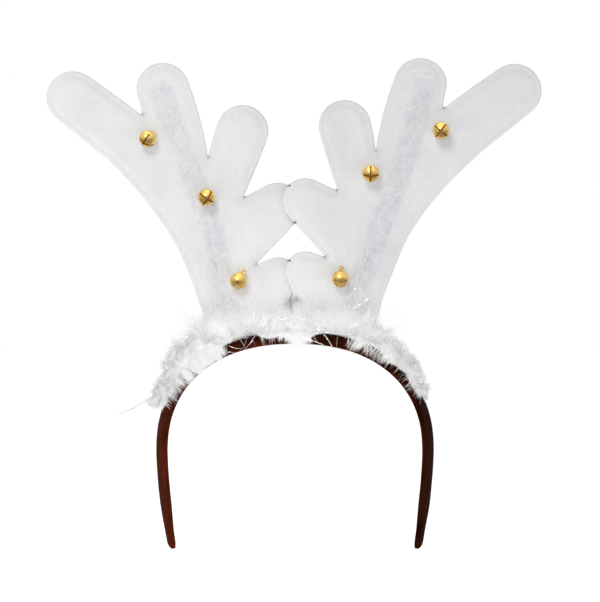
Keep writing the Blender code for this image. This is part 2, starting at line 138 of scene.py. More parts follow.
def bump_noise(x, z, scale, seed):
    """Soft noise from -1 to 1 on a plane, one value a point."""
    f = 1.0 / scale
    return np.array([noise.noise(Vector((a * f, b * f, seed))) for a, b in zip(x, z)])


def through(rows, step):
    path, last = [], len(rows) - 1
    for i in range(last):
        p0, p1 = rows[max(i - 1, 0)], rows[i]
        p2, p3 = rows[i + 1], rows[min(i + 2, last)]
        n = max(1, round(math.dist(p1, p2) / step))
        for k in range(n):
            t = k / n
            path.append(tuple(
                0.5 * (2 * b + (c - a) * t + (2 * a - 5 * b + 4 * c - d) * t * t
                       + (3 * b - a - 3 * c + d) * t ** 3)
                for a, b, c, d in zip(p0, p1, p2, p3)
            ))
    path.append(tuple(rows[-1]))
    return path


def new_object(name, points, faces, mats, slots=None, smooth_shade=True, attrs=None):
    """A mesh object from points in millimetres; place() later puts it on the body."""
    mesh = bpy.data.meshes.new(name)
    pts = np.asarray(points, np.float32) * MM
    if isinstance(faces, np.ndarray):
        count, width = faces.shape
        mesh.vertices.add(len(pts))
        mesh.vertices.foreach_set("co", pts.ravel())
        mesh.loops.add(count * width)
        mesh.loops.foreach_set("vertex_index", faces.astype(np.int32).ravel())
        mesh.polygons.add(count)
        mesh.polygons.foreach_set("loop_start", np.arange(0, count * width, width, dtype=np.int32))
        mesh.update(calc_edges=True)
    else:
        mesh.from_pydata(pts.tolist(), [], faces)
    for m in mats:
        mesh.materials.append(m)
    if slots is not None:
        mesh.polygons.foreach_set("material_index", np.asarray(slots, np.int32))
    mesh.polygons.foreach_set("use_smooth", np.full(len(mesh.polygons), smooth_shade))
    for key, values in (attrs or {}).items():
        a = mesh.attributes.new(key, "FLOAT", "POINT")
        a.data.foreach_set("value", np.asarray(values, np.float32))
    mesh.validate()
    mesh.update()
    ob = bpy.data.objects.new(name, mesh)
    bpy.context.scene.collection.objects.link(ob)
    return ob


def outward(ob):
    bm = bmesh.new()
    bm.from_mesh(ob.data)
    bmesh.ops.recalc_face_normals(bm, faces=bm.faces)
    bm.to_mesh(ob.data)
    bm.free()
    return ob


def place(ob, slot, *nodes):
    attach(ob, "root")
    if nodes:
        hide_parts(*nodes)
    return ob


# =============================================================================
# The arch of the strip
# =============================================================================
def half_arch():
    pts = []
    for i in range(361):
        q = math.radians(90.0 * i / 360)
        c = max(math.cos(q), 0.0)
        pts.append((BAND_HALF_SPAN * math.sin(q) ** (2 / BAND_POWER),
                    BAND_RISE * (c ** (2 / BAND_POWER) - 1.0)))
    for i in range(1, 121):
        u = i / 120
        pts.append((BAND_HALF_SPAN - LEG_TUCK * u ** LEG_POWER, -BAND_RISE - LEG_DROP * u))
    return np.array(pts)


ARCH = half_arch()
ARCH_S = np.concatenate([[0.0], np.cumsum(np.linalg.norm(np.diff(ARCH, axis=0), axis=1))])
HALF_LENGTH = float(ARCH_S[-1])


def arch_xz(s):
    s = np.asarray(s, float)
    a = np.clip(np.abs(s), 0, HALF_LENGTH)
    return np.sign(s) * np.interp(a, ARCH_S, ARCH[:, 0]), np.interp(a, ARCH_S, ARCH[:, 1])


def arch_at(s):
    """x, z, outward nx, nz, and tangent tx, tz."""
    xa, za = arch_xz(np.asarray(s, float) - 1.0)
    xb, zb = arch_xz(np.asarray(s, float) + 1.0)
    d = np.hypot(xb - xa, zb - za)
    tx, tz = (xb - xa) / d, (zb - za) / d
    x, z = arch_xz(s)
    return x, z, -tz, tx, tx, tz


# =============================================================================
# Node helpers
# =============================================================================
class Nodes:
    """Builds one procedural material around a Principled shader."""

    def __init__(self, name):
        self.mat = bpy.data.materials.new(name)
        self.mat.use_nodes = True
        self.tree = self.mat.node_tree
        self.shader = self.tree.nodes["Principled BSDF"]
        self.object = self.add("ShaderNodeTexCoord").outputs["Object"]

    def add(self, kind, **props):
        node = self.tree.nodes.new(kind)
        for key, value in props.items():
            setattr(node, key, value)
        return node

    def link(self, a, b):
        self.tree.links.new(a, b)

    def set(self, **values):
        for key, value in values.items():
            self.shader.inputs[key.replace("_", " ")].default_value = value

    def stretched(self, scale):
        node = self.add("ShaderNodeMapping")
        node.inputs["Scale"].default_value = scale
        self.link(self.object, node.inputs["Vector"])
        return node.outputs[0]

    def noise(self, scale, detail=3.0, rough=0.55, distort=0.0, vector=None):
        node = self.add("ShaderNodeTexNoise")
        node.inputs["Scale"].default_value = scale
        node.inputs["Detail"].default_value = detail
        node.inputs["Roughness"].default_value = rough
        node.inputs["Distortion"].default_value = distort
        self.link(vector or self.object, node.inputs["Vector"])
        return node.outputs["Fac"]

    def ramp(self, value, stops):
        node = self.add("ShaderNodeValToRGB")
        while len(node.color_ramp.elements) < len(stops):
            node.color_ramp.elements.new(0.5)
        for e, (at, colour) in zip(node.color_ramp.elements, stops):
            e.position = at
            e.color = (*colour, 1.0) if len(colour) == 3 else colour
        self.link(value, node.inputs[0])
        return node.outputs[0]

    def math(self, kind, a, b=0.5, clamp=False):
        node = self.add("ShaderNodeMath", operation=kind, use_clamp=clamp)
        for slot, v in ((0, a), (1, b)):
            if isinstance(v, (int, float)):
                node.inputs[slot].default_value = v
            else:
                self.link(v, node.inputs[slot])
        return node.outputs[0]

    def blend(self, factor, a, b, kind="MIX"):
        node = self.add("ShaderNodeMix", data_type="RGBA", blend_type=kind)
        for slot, v in ((0, factor), (6, a), (7, b)):
            if isinstance(v, (int, float)):
                node.inputs[slot].default_value = v
            elif isinstance(v, tuple):
                node.inputs[slot].default_value = (*v, 1.0)
            else:
                self.link(v, node.inputs[slot])
        return node.outputs[2]

    def attribute(self, name):
        return self.add("ShaderNodeAttribute", attribute_name=name).outputs["Fac"]

    def colour(self, socket):
        self.link(socket, self.shader.inputs["Base Color"])

    def rough(self, value, low, high):
        node = self.add("ShaderNodeMapRange")
        node.inputs["To Min"].default_value = low
        node.inputs["To Max"].default_value = high
        self.link(value, node.inputs["Value"])
        self.link(node.outputs[0], self.shader.inputs["Roughness"])

    def bump(self, *layers):
        """Each layer is (height socket, distance in mm, strength)."""
        last = None
        for height, distance, strength in layers:
            node = self.add("ShaderNodeBump")
            node.inputs["Strength"].default_value = strength
            node.inputs["Distance"].default_value = distance * MM
            self.link(height, node.inputs["Height"])
            if last is not None:
                self.link(last, node.inputs["Normal"])
            last = node.outputs[0]
        self.link(last, self.shader.inputs["Normal"])


# =============================================================================
# Materials
# =============================================================================
def felt_material():
    n = Nodes("brushed_felt")
    broad = n.noise(28.0, 4.0, 0.6)
    fibre = n.noise(620.0, 5.0, 0.7, 1.5, n.stretched((1.0, 1.0, 0.45)))
    fine = n.noise(1900.0, 3.0, 0.7, 0.5)
    base = n.ramp(broad, [(0.35, (0.722, 0.730, 0.738)), (0.50, (0.752, 0.758, 0.767)), (0.66, (0.778, 0.784, 0.786))])
    nap = n.ramp(fibre, [(0.32, (0.90, 0.90, 0.905)), (0.62, (1.0, 1.0, 1.0))])
    base = n.blend(0.8, base, nap, "MULTIPLY")
    shade = n.attribute("strip")
    mottle = n.ramp(n.noise(330.0, 6.0, 0.78, 0.8, n.stretched((1.0, 1.0, 0.6))), [(0.34, (0.555, 0.560, 0.600)), (0.50, (0.665, 0.668, 0.695)), (0.64, (0.745, 0.750, 0.760))])
    base = n.blend(shade, base, n.blend(0.55, mottle, nap, "MULTIPLY"))
    where = n.add("ShaderNodeSeparateXYZ")
    n.link(n.object, where.inputs[0])
    # painted shade: the felt is darkened towards the right-hand antler, as if it got less light than the left
    half = n.add("ShaderNodeMapRange")
    half.inputs["From Min"].default_value = -0.012
    half.inputs["From Max"].default_value = 0.020
    n.link(where.outputs["X"], half.inputs["Value"])
    base = n.blend(1.0, base, n.ramp(half.outputs[0], [(0.0, (1.0, 1.0, 1.0)), (1.0, (0.935, 0.935, 0.940))]), "MULTIPLY")
    # painted light: the lowest inner tines are brightened to make up for the shade they lie in just above the trim
    inner = n.add("ShaderNodeMapRange")
    inner.inputs["From Min"].default_value = 0.0020
    inner.inputs["From Max"].default_value = 0.0007
    n.link(n.math("MULTIPLY", where.outputs["X"], where.outputs["X"]), inner.inputs["Value"])
    low = n.add("ShaderNodeMapRange")
    low.inputs["From Min"].default_value = 0.080
    low.inputs["From Max"].default_value = 0.055
    n.link(where.outputs["Z"], low.inputs["Value"])
    base = n.blend(n.math("MULTIPLY", inner.outputs[0], low.outputs[0]), base, n.blend(1.0, base, (1.09, 1.09, 1.085), "MULTIPLY"))
    # painted light: the felt just above the trim is brightened to make up for the shade it lies in there
    painted_light_above_trim = n.add("ShaderNodeMapRange")
    painted_light_above_trim.inputs["From Min"].default_value = 0.042
    painted_light_above_trim.inputs["From Max"].default_value = 0.026
    n.link(where.outputs["Z"], painted_light_above_trim.inputs["Value"])
    base = n.blend(painted_light_above_trim.outputs[0], base, n.blend(1.0, base, (1.07, 1.07, 1.06), "MULTIPLY"))
    # painted shade: the felt is greyed in the groove inside its rim, at the very edge and along the deeper creases
    rim = n.attribute("rim")
    base = n.blend(n.math("MULTIPLY", rim, 0.20), base, (0.62, 0.635, 0.65))
    # painted shade: the felt is darkened in the notches between tines and in the gap between the antlers' feet
    painted_notch_and_gap_shade = n.attribute("notch_gap_shade")
    base = n.blend(n.math("MULTIPLY", painted_notch_and_gap_shade, 0.75), base, (0.30, 0.285, 0.28))
    n.colour(base)
    n.rough(fibre, 0.82, 0.96)
    n.set(Sheen_Weight=0.25, Sheen_Roughness=0.5, Specular_IOR_Level=0.18)
    n.bump((fibre, 0.22, 0.55), (fine, 0.10, 0.45), (n.noise(130.0, 3.0, 0.6), 0.5, 0.25))
    return n.mat


def satin_material():
    n = Nodes("brown_satin")
    long_fold = n.noise(55.0, 3.0, 0.5, 0.4, n.stretched((1.0, 3.0, 1.0)))
    weave = n.noise(2600.0, 2.0, 0.5, 0.0, n.stretched((1.0, 0.12, 1.0)))
    cross = n.noise(1500.0, 2.0, 0.5, 0.0, n.stretched((0.6, 2.2, 0.6)))
    # painted sheen and shade: the colour follows the fold relief, lighter on the crests and darker in the troughs
    base = n.ramp(long_fold, [(0.30, (0.043, 0.0066, 0.0016)), (0.52, (0.080, 0.0128, 0.0034)), (0.72, (0.117, 0.0205, 0.0060))])
    # painted shade and sheen: the satin is darkened towards the right-hand leg, so the left-hand leg looks lighter
    where = n.add("ShaderNodeSeparateXYZ")
    n.link(n.object, where.inputs[0])
    painted_right_shade = n.add("ShaderNodeMapRange")
    painted_right_shade.inputs["From Min"].default_value = -0.05
    painted_right_shade.inputs["From Max"].default_value = 0.06
    n.link(where.outputs["X"], painted_right_shade.inputs["Value"])
    base = n.blend(1.0, base, n.ramp(painted_right_shade.outputs[0], [(0.0, (1.0, 1.0, 1.0)), (1.0, (0.40, 0.42, 0.40))]), "MULTIPLY")
    base = n.blend(0.35, base, n.ramp(weave, [(0.35, (0.72, 0.70, 0.70)), (0.65, (1.0, 1.0, 1.0))]), "MULTIPLY")
    n.colour(base)
    n.rough(cross, 0.36, 0.52)
    n.set(Specular_IOR_Level=0.004, Specular_Tint=(0.95, 0.50, 0.30, 1.0))
    n.bump((weave, 0.05, 0.35), (long_fold, 0.9, 0.35), (cross, 0.06, 0.25))
    return n.mat


def gold_material():
    n = Nodes("polished_gold")
    tone = n.noise(160.0, 3.0, 0.55)
    scratch = n.noise(1500.0, 4.0, 0.7, 0.0, n.stretched((1.0, 1.0, 0.25)))
    base = n.ramp(tone, [(0.30, (0.88, 0.55, 0.13)), (0.55, (0.97, 0.66, 0.20)), (0.75, (1.0, 0.75, 0.29))])
    n.colour(base)
    n.rough(scratch, 0.24, 0.40)
    n.set(Metallic=1.0)
    n.bump((scratch, 0.02, 0.25), (tone, 0.25, 0.12))
    return n.mat


def strip_material():
    n = Nodes("stiffener_strip")
    grain = n.noise(500.0, 4.0, 0.6, 0.0, n.stretched((1.0, 1.0, 0.2)))
    n.colour(n.ramp(grain, [(0.3, (0.44, 0.50, 0.57)), (0.7, (0.56, 0.61, 0.67))]))
    n.rough(grain, 0.40, 0.60)
    n.bump((grain, 0.05, 0.3))
    return n.mat


def fluff_core_material():
    n = Nodes("fluff_core")
    clump = n.noise(210.0, 4.0, 0.7, 1.2)
    hair = n.noise(900.0, 4.0, 0.75, 2.5)
    # painted shade: the colour follows the clump relief, darker in the hollows between clumps
    base = n.ramp(clump, [(0.30, (0.84, 0.845, 0.855)), (0.60, (0.96, 0.96, 0.96))])
    base = n.blend(0.7, base, n.ramp(hair, [(0.35, (0.88, 0.88, 0.885)), (0.60, (1.0, 1.0, 1.0))]), "MULTIPLY")
    n.colour(base)
    n.rough(hair, 0.85, 0.98)
    n.set(Sheen_Weight=0.2, Sheen_Roughness=0.6, Specular_IOR_Level=0.1)
    n.bump((clump, 1.2, 0.7), (hair, 0.35, 0.8))
    return n.mat


def strand_material(name, colour, sheen):
    n = Nodes(name)
    # painted light: every strand glows faintly in its own colour, so the trim looks as bright as lit down
    n.set(Base_Color=(*colour, 1.0), Roughness=0.85, Sheen_Weight=sheen, Sheen_Roughness=0.4,
          Specular_IOR_Level=0.12, Emission_Color=(*colour, 1.0), Emission_Strength=0.078)
    return n.mat


def thread_material(name, low, high):
    n = Nodes(name)
    twist = n.noise(2400.0, 3.0, 0.6, 0.8)
    n.colour(n.ramp(twist, [(0.3, low), (0.7, high)]))
    n.rough(twist, 0.6, 0.85)
    n.bump((twist, 0.06, 0.6))
    return n.mat


def tinsel_material():
    n = Nodes("tinsel_film")
    n.set(Base_Color=(0.93, 0.94, 0.96, 1.0), Metallic=0.75, Roughness=0.26)
    return n.mat


FELT_MAT = felt_material()
SATIN_MAT = satin_material()
GOLD_MAT = gold_material()
STRIP_MAT = strip_material()
CORE_MAT = fluff_core_material()
STRAND_MATS = [
    strand_material("strand_white", (0.965, 0.963, 0.957), 0.10),
    strand_material("strand_warm", (0.935, 0.928, 0.912), 0.08),
    strand_material("strand_cool", (0.855, 0.855, 0.858), 0.08),
    strand_material("strand_grey", (0.680, 0.677, 0.672), 0.05),
]
THREAD_MAT = thread_material("white_thread", (0.70, 0.71, 0.73), (0.86, 0.86, 0.86))
TACK_MAT = thread_material("grey_tack_thread", (0.20, 0.19, 0.185), (0.40, 0.385, 0.37))
TINSEL_MAT = tinsel_material()


# =============================================================================
# Headband
# =============================================================================
def band_half_width(from_end):
    tip = BAND_END_WIDTH / 2
    round_end = tip * np.sqrt(np.clip(1.0 - ((tip - np.minimum(from_end, tip)) / tip) ** 2, 0, 1))
    widen = mix(tip, BAND_WIDTH / 2, smooth((from_end - tip) / 22.0))
    return np.where(from_end < tip, round_end, widen)


def make_headband():
    around, count = 72, 620
    ends = 12.0 * (np.linspace(0, 1, 36) ** 2.2)
    inner = np.linspace(-(HALF_LENGTH - 12.0), HALF_LENGTH - 12.0, count)[1:-1]
    s = np.concatenate([-(HALF_LENGTH - ends), inner, (HALF_LENGTH - ends)[::-1]])
    from_end = np.maximum(HALF_LENGTH - np.abs(s), 0.03)
    half = band_half_width(from_end)
    thick = BAND_THICK * np.minimum(1.0, 0.45 + 0.55 * np.sqrt(from_end / 3.0))
    x, z, nx, nz, _, _ = arch_at(s)
    q = 2 * np.pi * (np.arange(around) + 0.5) / around
    c, sn = np.cos(q), np.sin(q)
    cu = np.sign(c) * np.abs(c) ** 0.62
    su = np.sign(sn) * np.abs(sn) ** 0.66
    w = half[:, None] * cu[None, :]
    m = thick[:, None] / 2 * (1.0 + su[None, :])
    top = (su > 0)[None, :]
    m = m + np.where(top, BAND_CROWN * (1.0 - cu[None, :] ** 2), 0.0)
    # pulled satin: shallow slanting folds on the outer face and at the edges,
    # and small gathers where the cover is turned in at the ends
    g = np.broadcast_to(s[:, None], w.shape)
    fold = np.array([noise.noise(Vector((a / 9.0 + b / 5.5, b / 16.0, 3.1))) for a, b in
                     zip(g.ravel(), w.ravel())]).reshape(w.shape)
    ripple = np.array([noise.noise(Vector((a / 2.6, b / 9.0, 7.7))) for a, b in
                       zip(g.ravel(), w.ravel())]).reshape(w.shape)
    edge = np.abs(cu[None, :]) ** 4
    near_end = np.exp(-from_end / 9.0)[:, None]
    m = m + np.where(top, 0.20 * fold * (1 - edge), 0.06 * fold)
    m = m + (0.05 + 0.22 * near_end) * ripple * (0.35 + 0.65 * edge)
    # the cover's seam along the middle of the inner face
    if True:
        under = np.clip(-su, 0, 1)[None, :]
        lap = np.exp(-((w - 0.8) / 0.55) ** 2) * under
        m = m + 0.16 * lap
    y = w * math.cos(BAND_TILT) - m * math.sin(BAND_TILT)
    n = w * math.sin(BAND_TILT) + m * math.cos(BAND_TILT)
    px = x[:, None] + nx[:, None] * n
    pz = z[:, None] + nz[:, None] * n
    pts = np.stack([px, y, pz], 2).reshape(-1, 3)
    rows = len(s)
    i, j = np.meshgrid(np.arange(rows - 1), np.arange(around), indexing="ij")
    a, b, k = i * around, (i + 1) * around, (j + 1) % around
    quads = np.stack([a + j, a + k, b + k, b + j], 2).reshape(-1, 4).tolist()
    pts = np.concatenate([pts, pts[:around].mean(0)[None], pts[-around:].mean(0)[None]])
    c0, c1, last = len(pts) - 2, len(pts) - 1, (rows - 1) * around
    for j in range(around):
        k = (j + 1) % around
        quads.append((c0, k, j))
        quads.append((c1, last + j, last + k))
    ob = outward(new_object("satin_headband", pts, quads, [SATIN_MAT]))
    return place(ob, "satin", "headband")


# =============================================================================
# Antlers
# =============================================================================
def line_points(a, b, step):
    n = max(1, math.ceil(math.dist(a, b) / step))
    return [(mix(a[0], b[0], i / n), mix(a[1], b[1], i / n)) for i in range(n)]


def touch_angle(row, point, sign):
    cx, cz, r = row[0], row[1], row[2]
    d = math.dist((cx, cz), point)
    away = math.atan2(point[1] - cz, point[0] - cx)
    return away + sign * math.acos(min(r / d, 1.0))


NOTCH_IN = 0.9
# how far the two sides of each tine bulge from a straight line
TINE_BOW = ((0.0, 0.3), (-0.5, 1.4), (0.3, 0.3), (0.0, 0.0), (0.0, 0.0))


def bowed(a, b, step, sag):
    rows = line_points(a, b, step)
    dx, dz = b[0] - a[0], b[1] - a[1]
    run = math.hypot(dx, dz)
    out = []
    for i, (x, z) in enumerate(rows):
        k = 4.0 * sag * (i / len(rows)) * (1.0 - i / len(rows)) / max(run, 1e-6)
        out.append((x + dz * k, z - dx * k))
    return out


def outline(tines, beam, foot, step):
    """Rim of one antler, anticlockwise seen with out to the right."""
    edge = through(beam, step)
    first = touch_angle(tines[0], edge[-1], 1.0)
    rim, before = edge[:-1], edge[-1]
    for i, row in enumerate(tines):
        cx, cz, r = row[0], row[1], row[2]
        notch = (row[3], row[4])
        start = first if i == 0 else touch_angle(row, before, 1.0)
        stop = touch_angle(row, notch, -1.0)
        if i < 4:  # sewn in a little past the cut
            after = tines[i + 1]
            ax, az = cx - notch[0], cz - notch[1]
            bx, bz = after[0] - notch[0], after[1] - notch[1]
            la, lb = math.hypot(ax, az), math.hypot(bx, bz)
            mx, mz = ax / la + bx / lb, az / la + bz / lb
            lm = math.hypot(mx, mz)
            notch = (notch[0] - NOTCH_IN * mx / lm, notch[1] - NOTCH_IN * mz / lm)
        while stop < start:
            stop += 2 * math.pi
        while stop - start > 2 * math.pi:
            stop -= 2 * math.pi
        rim += bowed(before, (cx + r * math.cos(start), cz + r * math.sin(start)), step, TINE_BOW[i][0])
        n = max(3, math.ceil(r * (stop - start) / (step * 0.85)))
        for k in range(n):
            q = mix(start, stop, k / n)
            rim.append((cx + r * math.cos(q), cz + r * math.sin(q)))
        rim += bowed((cx + r * math.cos(stop), cz + r * math.sin(stop)), notch, step, TINE_BOW[i][1])
        before = notch
    s = np.arange(-20.0, 80.0, step)
    x, z, nx, nz, _, _ = arch_at(s)
    base = [(a, b) for a, b in zip(x + nx * BASE_LIFT, z + nz * BASE_LIFT) if foot < a < beam[0][0]]
    rim += line_points(before, (foot, base[0][1]), step)
    rim.append((foot, base[0][1]))
    rim += [p for p in base if foot + 0.8 * step < p[0] < beam[0][0] - 0.8 * step]
    kept = []
    for p in rim:
        if not kept or math.dist(p, kept[-1]) > 0.25 * step:
            kept.append(p)
    while math.dist(kept[0], kept[-1]) < 0.25 * step:
        kept.pop()
    return np.array(kept)


def even(loop, step):
    """The closed loop with evenly spaced points."""
    closed = np.vstack([loop, loop[:1]])
    run = np.concatenate([[0], np.cumsum(np.linalg.norm(np.diff(closed, axis=0), axis=1))])
    at = np.linspace(0, run[-1], int(round(run[-1] / step)), endpoint=False)
    return np.stack([np.interp(at, run, closed[:, 0]), np.interp(at, run, closed[:, 1])], 1)


def segments_distance(p, loop, chunk=2000):
    """Distance of each point to a closed loop."""
    a, b = loop, np.roll(loop, -1, 0)
    d = b - a
    dd = (d ** 2).sum(1)
    out = np.empty(len(p))
    for i in range(0, len(p), chunk):
        q = p[i:i + chunk, None, :]
        t = np.clip(((q - a) * d).sum(2) / dd, 0, 1)
        out[i:i + chunk] = np.sqrt((((a + t[..., None] * d) - q) ** 2).sum(2).min(1))
    return out


def line_distance(p, line, chunk=2000):
    """Distance to an open line, and how far along it the nearest point is."""
    line = np.asarray(line, float)
    a, d = line[:-1], line[1:] - line[:-1]
    dd = (d ** 2).sum(1)
    run = np.concatenate([[0], np.cumsum(np.sqrt(dd))])
    out, along = np.empty(len(p)), np.empty(len(p))
    for i in range(0, len(p), chunk):
        q = p[i:i + chunk, None, :]
        t = np.clip(((q - a) * d).sum(2) / dd, 0, 1)
        r = np.sqrt((((a + t[..., None] * d) - q) ** 2).sum(2))
        k = r.argmin(1)
        out[i:i + chunk] = r[np.arange(len(k)), k]
        along[i:i + chunk] = run[k] + t[np.arange(len(k)), k] * np.sqrt(dd[k])
    return out, along, run[-1]


def inside_loop(p, loop):
    odd = np.zeros(len(p), bool)
    for a, b in zip(loop, np.roll(loop, -1, 0)):
        if a[1] == b[1]:
            continue
        cross = (a[1] > p[:, 1]) != (b[1] > p[:, 1])
        xi = a[0] + (p[:, 1] - a[1]) * (b[0] - a[0]) / (b[1] - a[1])
        odd ^= cross & (p[:, 0] < xi)
    return odd


def sway(side, out, up):
    lean = LEAN_BACK * (np.maximum(up, 0.0) / 170.0) ** 2
    cross = CROSSING * smooth((CROSS_OUT - out) / 25.0) * smooth((up - CROSS_UP) / 20.0)
    return lean - side * cross


# creases on the front layer, as drawn lines: (side, half width, depth, rows of out, up); the deeper ones also get
# painted shade in the felt's colour
CREASES = (
    (-1, 0.9, 0.55, ((54.0, 68.0), (51.5, 58.0), (48.6, 47.0), (46.4, 37.5))),
    (-1, 0.8, 0.30, ((48.2, 29.5), (46.8, 27.0), (43.5, 26.0), (41.0, 27.5))),
    (-1, 1.6, 0.22, ((149.0, 150.0), (148.0, 155.0), (145.0, 159.5), (141.0, 162.0))),
    (-1, 1.3, 0.20, ((92.0, 160.0), (88.5, 164.8), (82.5, 166.2), (77.0, 163.0))),
    (-1, 1.3, 0.18, ((90.0, 157.0), (86.5, 161.2), (82.0, 162.5), (76.5, 159.5))),
    (1, 1.4, 0.22, ((86.0, 164.5), (80.5, 167.0), (74.0, 166.0), (68.5, 162.5))),
    (1, 1.0, 0.25, ((116.0, 119.5), (125.0, 127.0), (134.0, 134.5), (141.0, 140.5))),
    (1, 1.3, 0.18, ((24.0, 128.0), (30.0, 125.5), (36.0, 126.0))),
    (-1, 1.2, 0.16, ((108.0, 128.0), (116.0, 131.0), (124.0, 136.0))),
)


# painted shadow on the felt where it is pulled together between the antlers' feet, for the gap's shade
FEET_SHADE = (
    (-2.4, 23.9, 2.4, 1.33), (-1.6, 27.4, 1.3, 0.40), (0.8, 24.9, 1.9, 1.10), (3.2, 23.6, 1.7, 0.55), (-5.4, 21.6, 2.0, 1.10),
)


def rim_profile():
    """Rows of inset from the rim and height above the seam plane."""
    return ((0.42, 0.0), (0.10, 0.16), (0.0, 0.50), (0.12, 0.86), (0.42, 1.16),
            (0.85, 1.34), (1.35, 1.42), (1.85, 1.42), (2.3, 1.36))


def face_height(side, face, p, d, strip, crotches, bells):
    """Height of the outer face above the seam plane, away from the rim."""
    x, z = p[:, 0], p[:, 1]
    h = FELT + GAP / 2 + PUFF * smooth((d - 1.9) / 4.6)
    h -= 0.09 * np.exp(-((d - 2.35) / 0.45) ** 2)
    seed = 10.0 * side + 3.0 * face
    calm = smooth((d - 1.5) / 5.0)
    h += calm * 0.34 * bump_noise(x, z, 21.0, seed)
    h += calm * 0.16 * bump_noise(x, z, 8.0, seed + 2.0)
    h += 0.045 * bump_noise(x, z, 2.3, seed + 4.0)
    h += 0.030 * bump_noise(x, z, 1.1, seed + 6.0)
    off, along, total = line_distance(p, strip)
    inner = smooth((STRIP_WIDTH / 2 + 1.8 - off) / 3.6)
    ends = smooth(along / 3.0) * smooth((total - along) / 2.0)
    h += 0.26 * inner * ends
    h -= 0.05 * np.exp(-((off - STRIP_WIDTH / 2 - 2.4) / 0.9) ** 2) * ends
    for cx, cz, ux, uz in crotches:
        dx, dz = x - cx, z - cz
        r = np.hypot(dx, dz)
        turn = np.arctan2(dz * ux - dx * uz, dx * ux + dz * uz)
        h += 0.30 * np.cos(7.0 * turn) * np.exp(-(r / 5.2) ** 2) * smooth(r / 1.6)
        h -= 0.75 * np.exp(-(r / 1.9) ** 2)
    if face < 0:
        for bx, bz in bells:
            r = np.hypot(x - bx, z - bz)
            h -= 0.75 * np.exp(-(r / 2.2) ** 2)
            turn = np.arctan2(z - bz, x - bx)
            h += 0.14 * np.cos(5.0 * turn + bx) * np.exp(-((r - 4.0) / 2.6) ** 2)
        for s, half, depth, rows in CREASES:
            if s == side:
                off2, al, tot = line_distance(p, through(rows, 1.0))
                taper = smooth(al / 4.0) * smooth((tot - al) / 4.0)
                h -= depth * taper * np.exp(-(off2 / half) ** 2)
                h += 0.45 * depth * taper * np.exp(-((off2 - 1.9 * half) / half) ** 2)
    else:
        for bx, bz in bells:
            r = np.hypot(x - bx, z - bz)
            h -= 0.45 * np.exp(-(r / 1.8) ** 2)
    return h


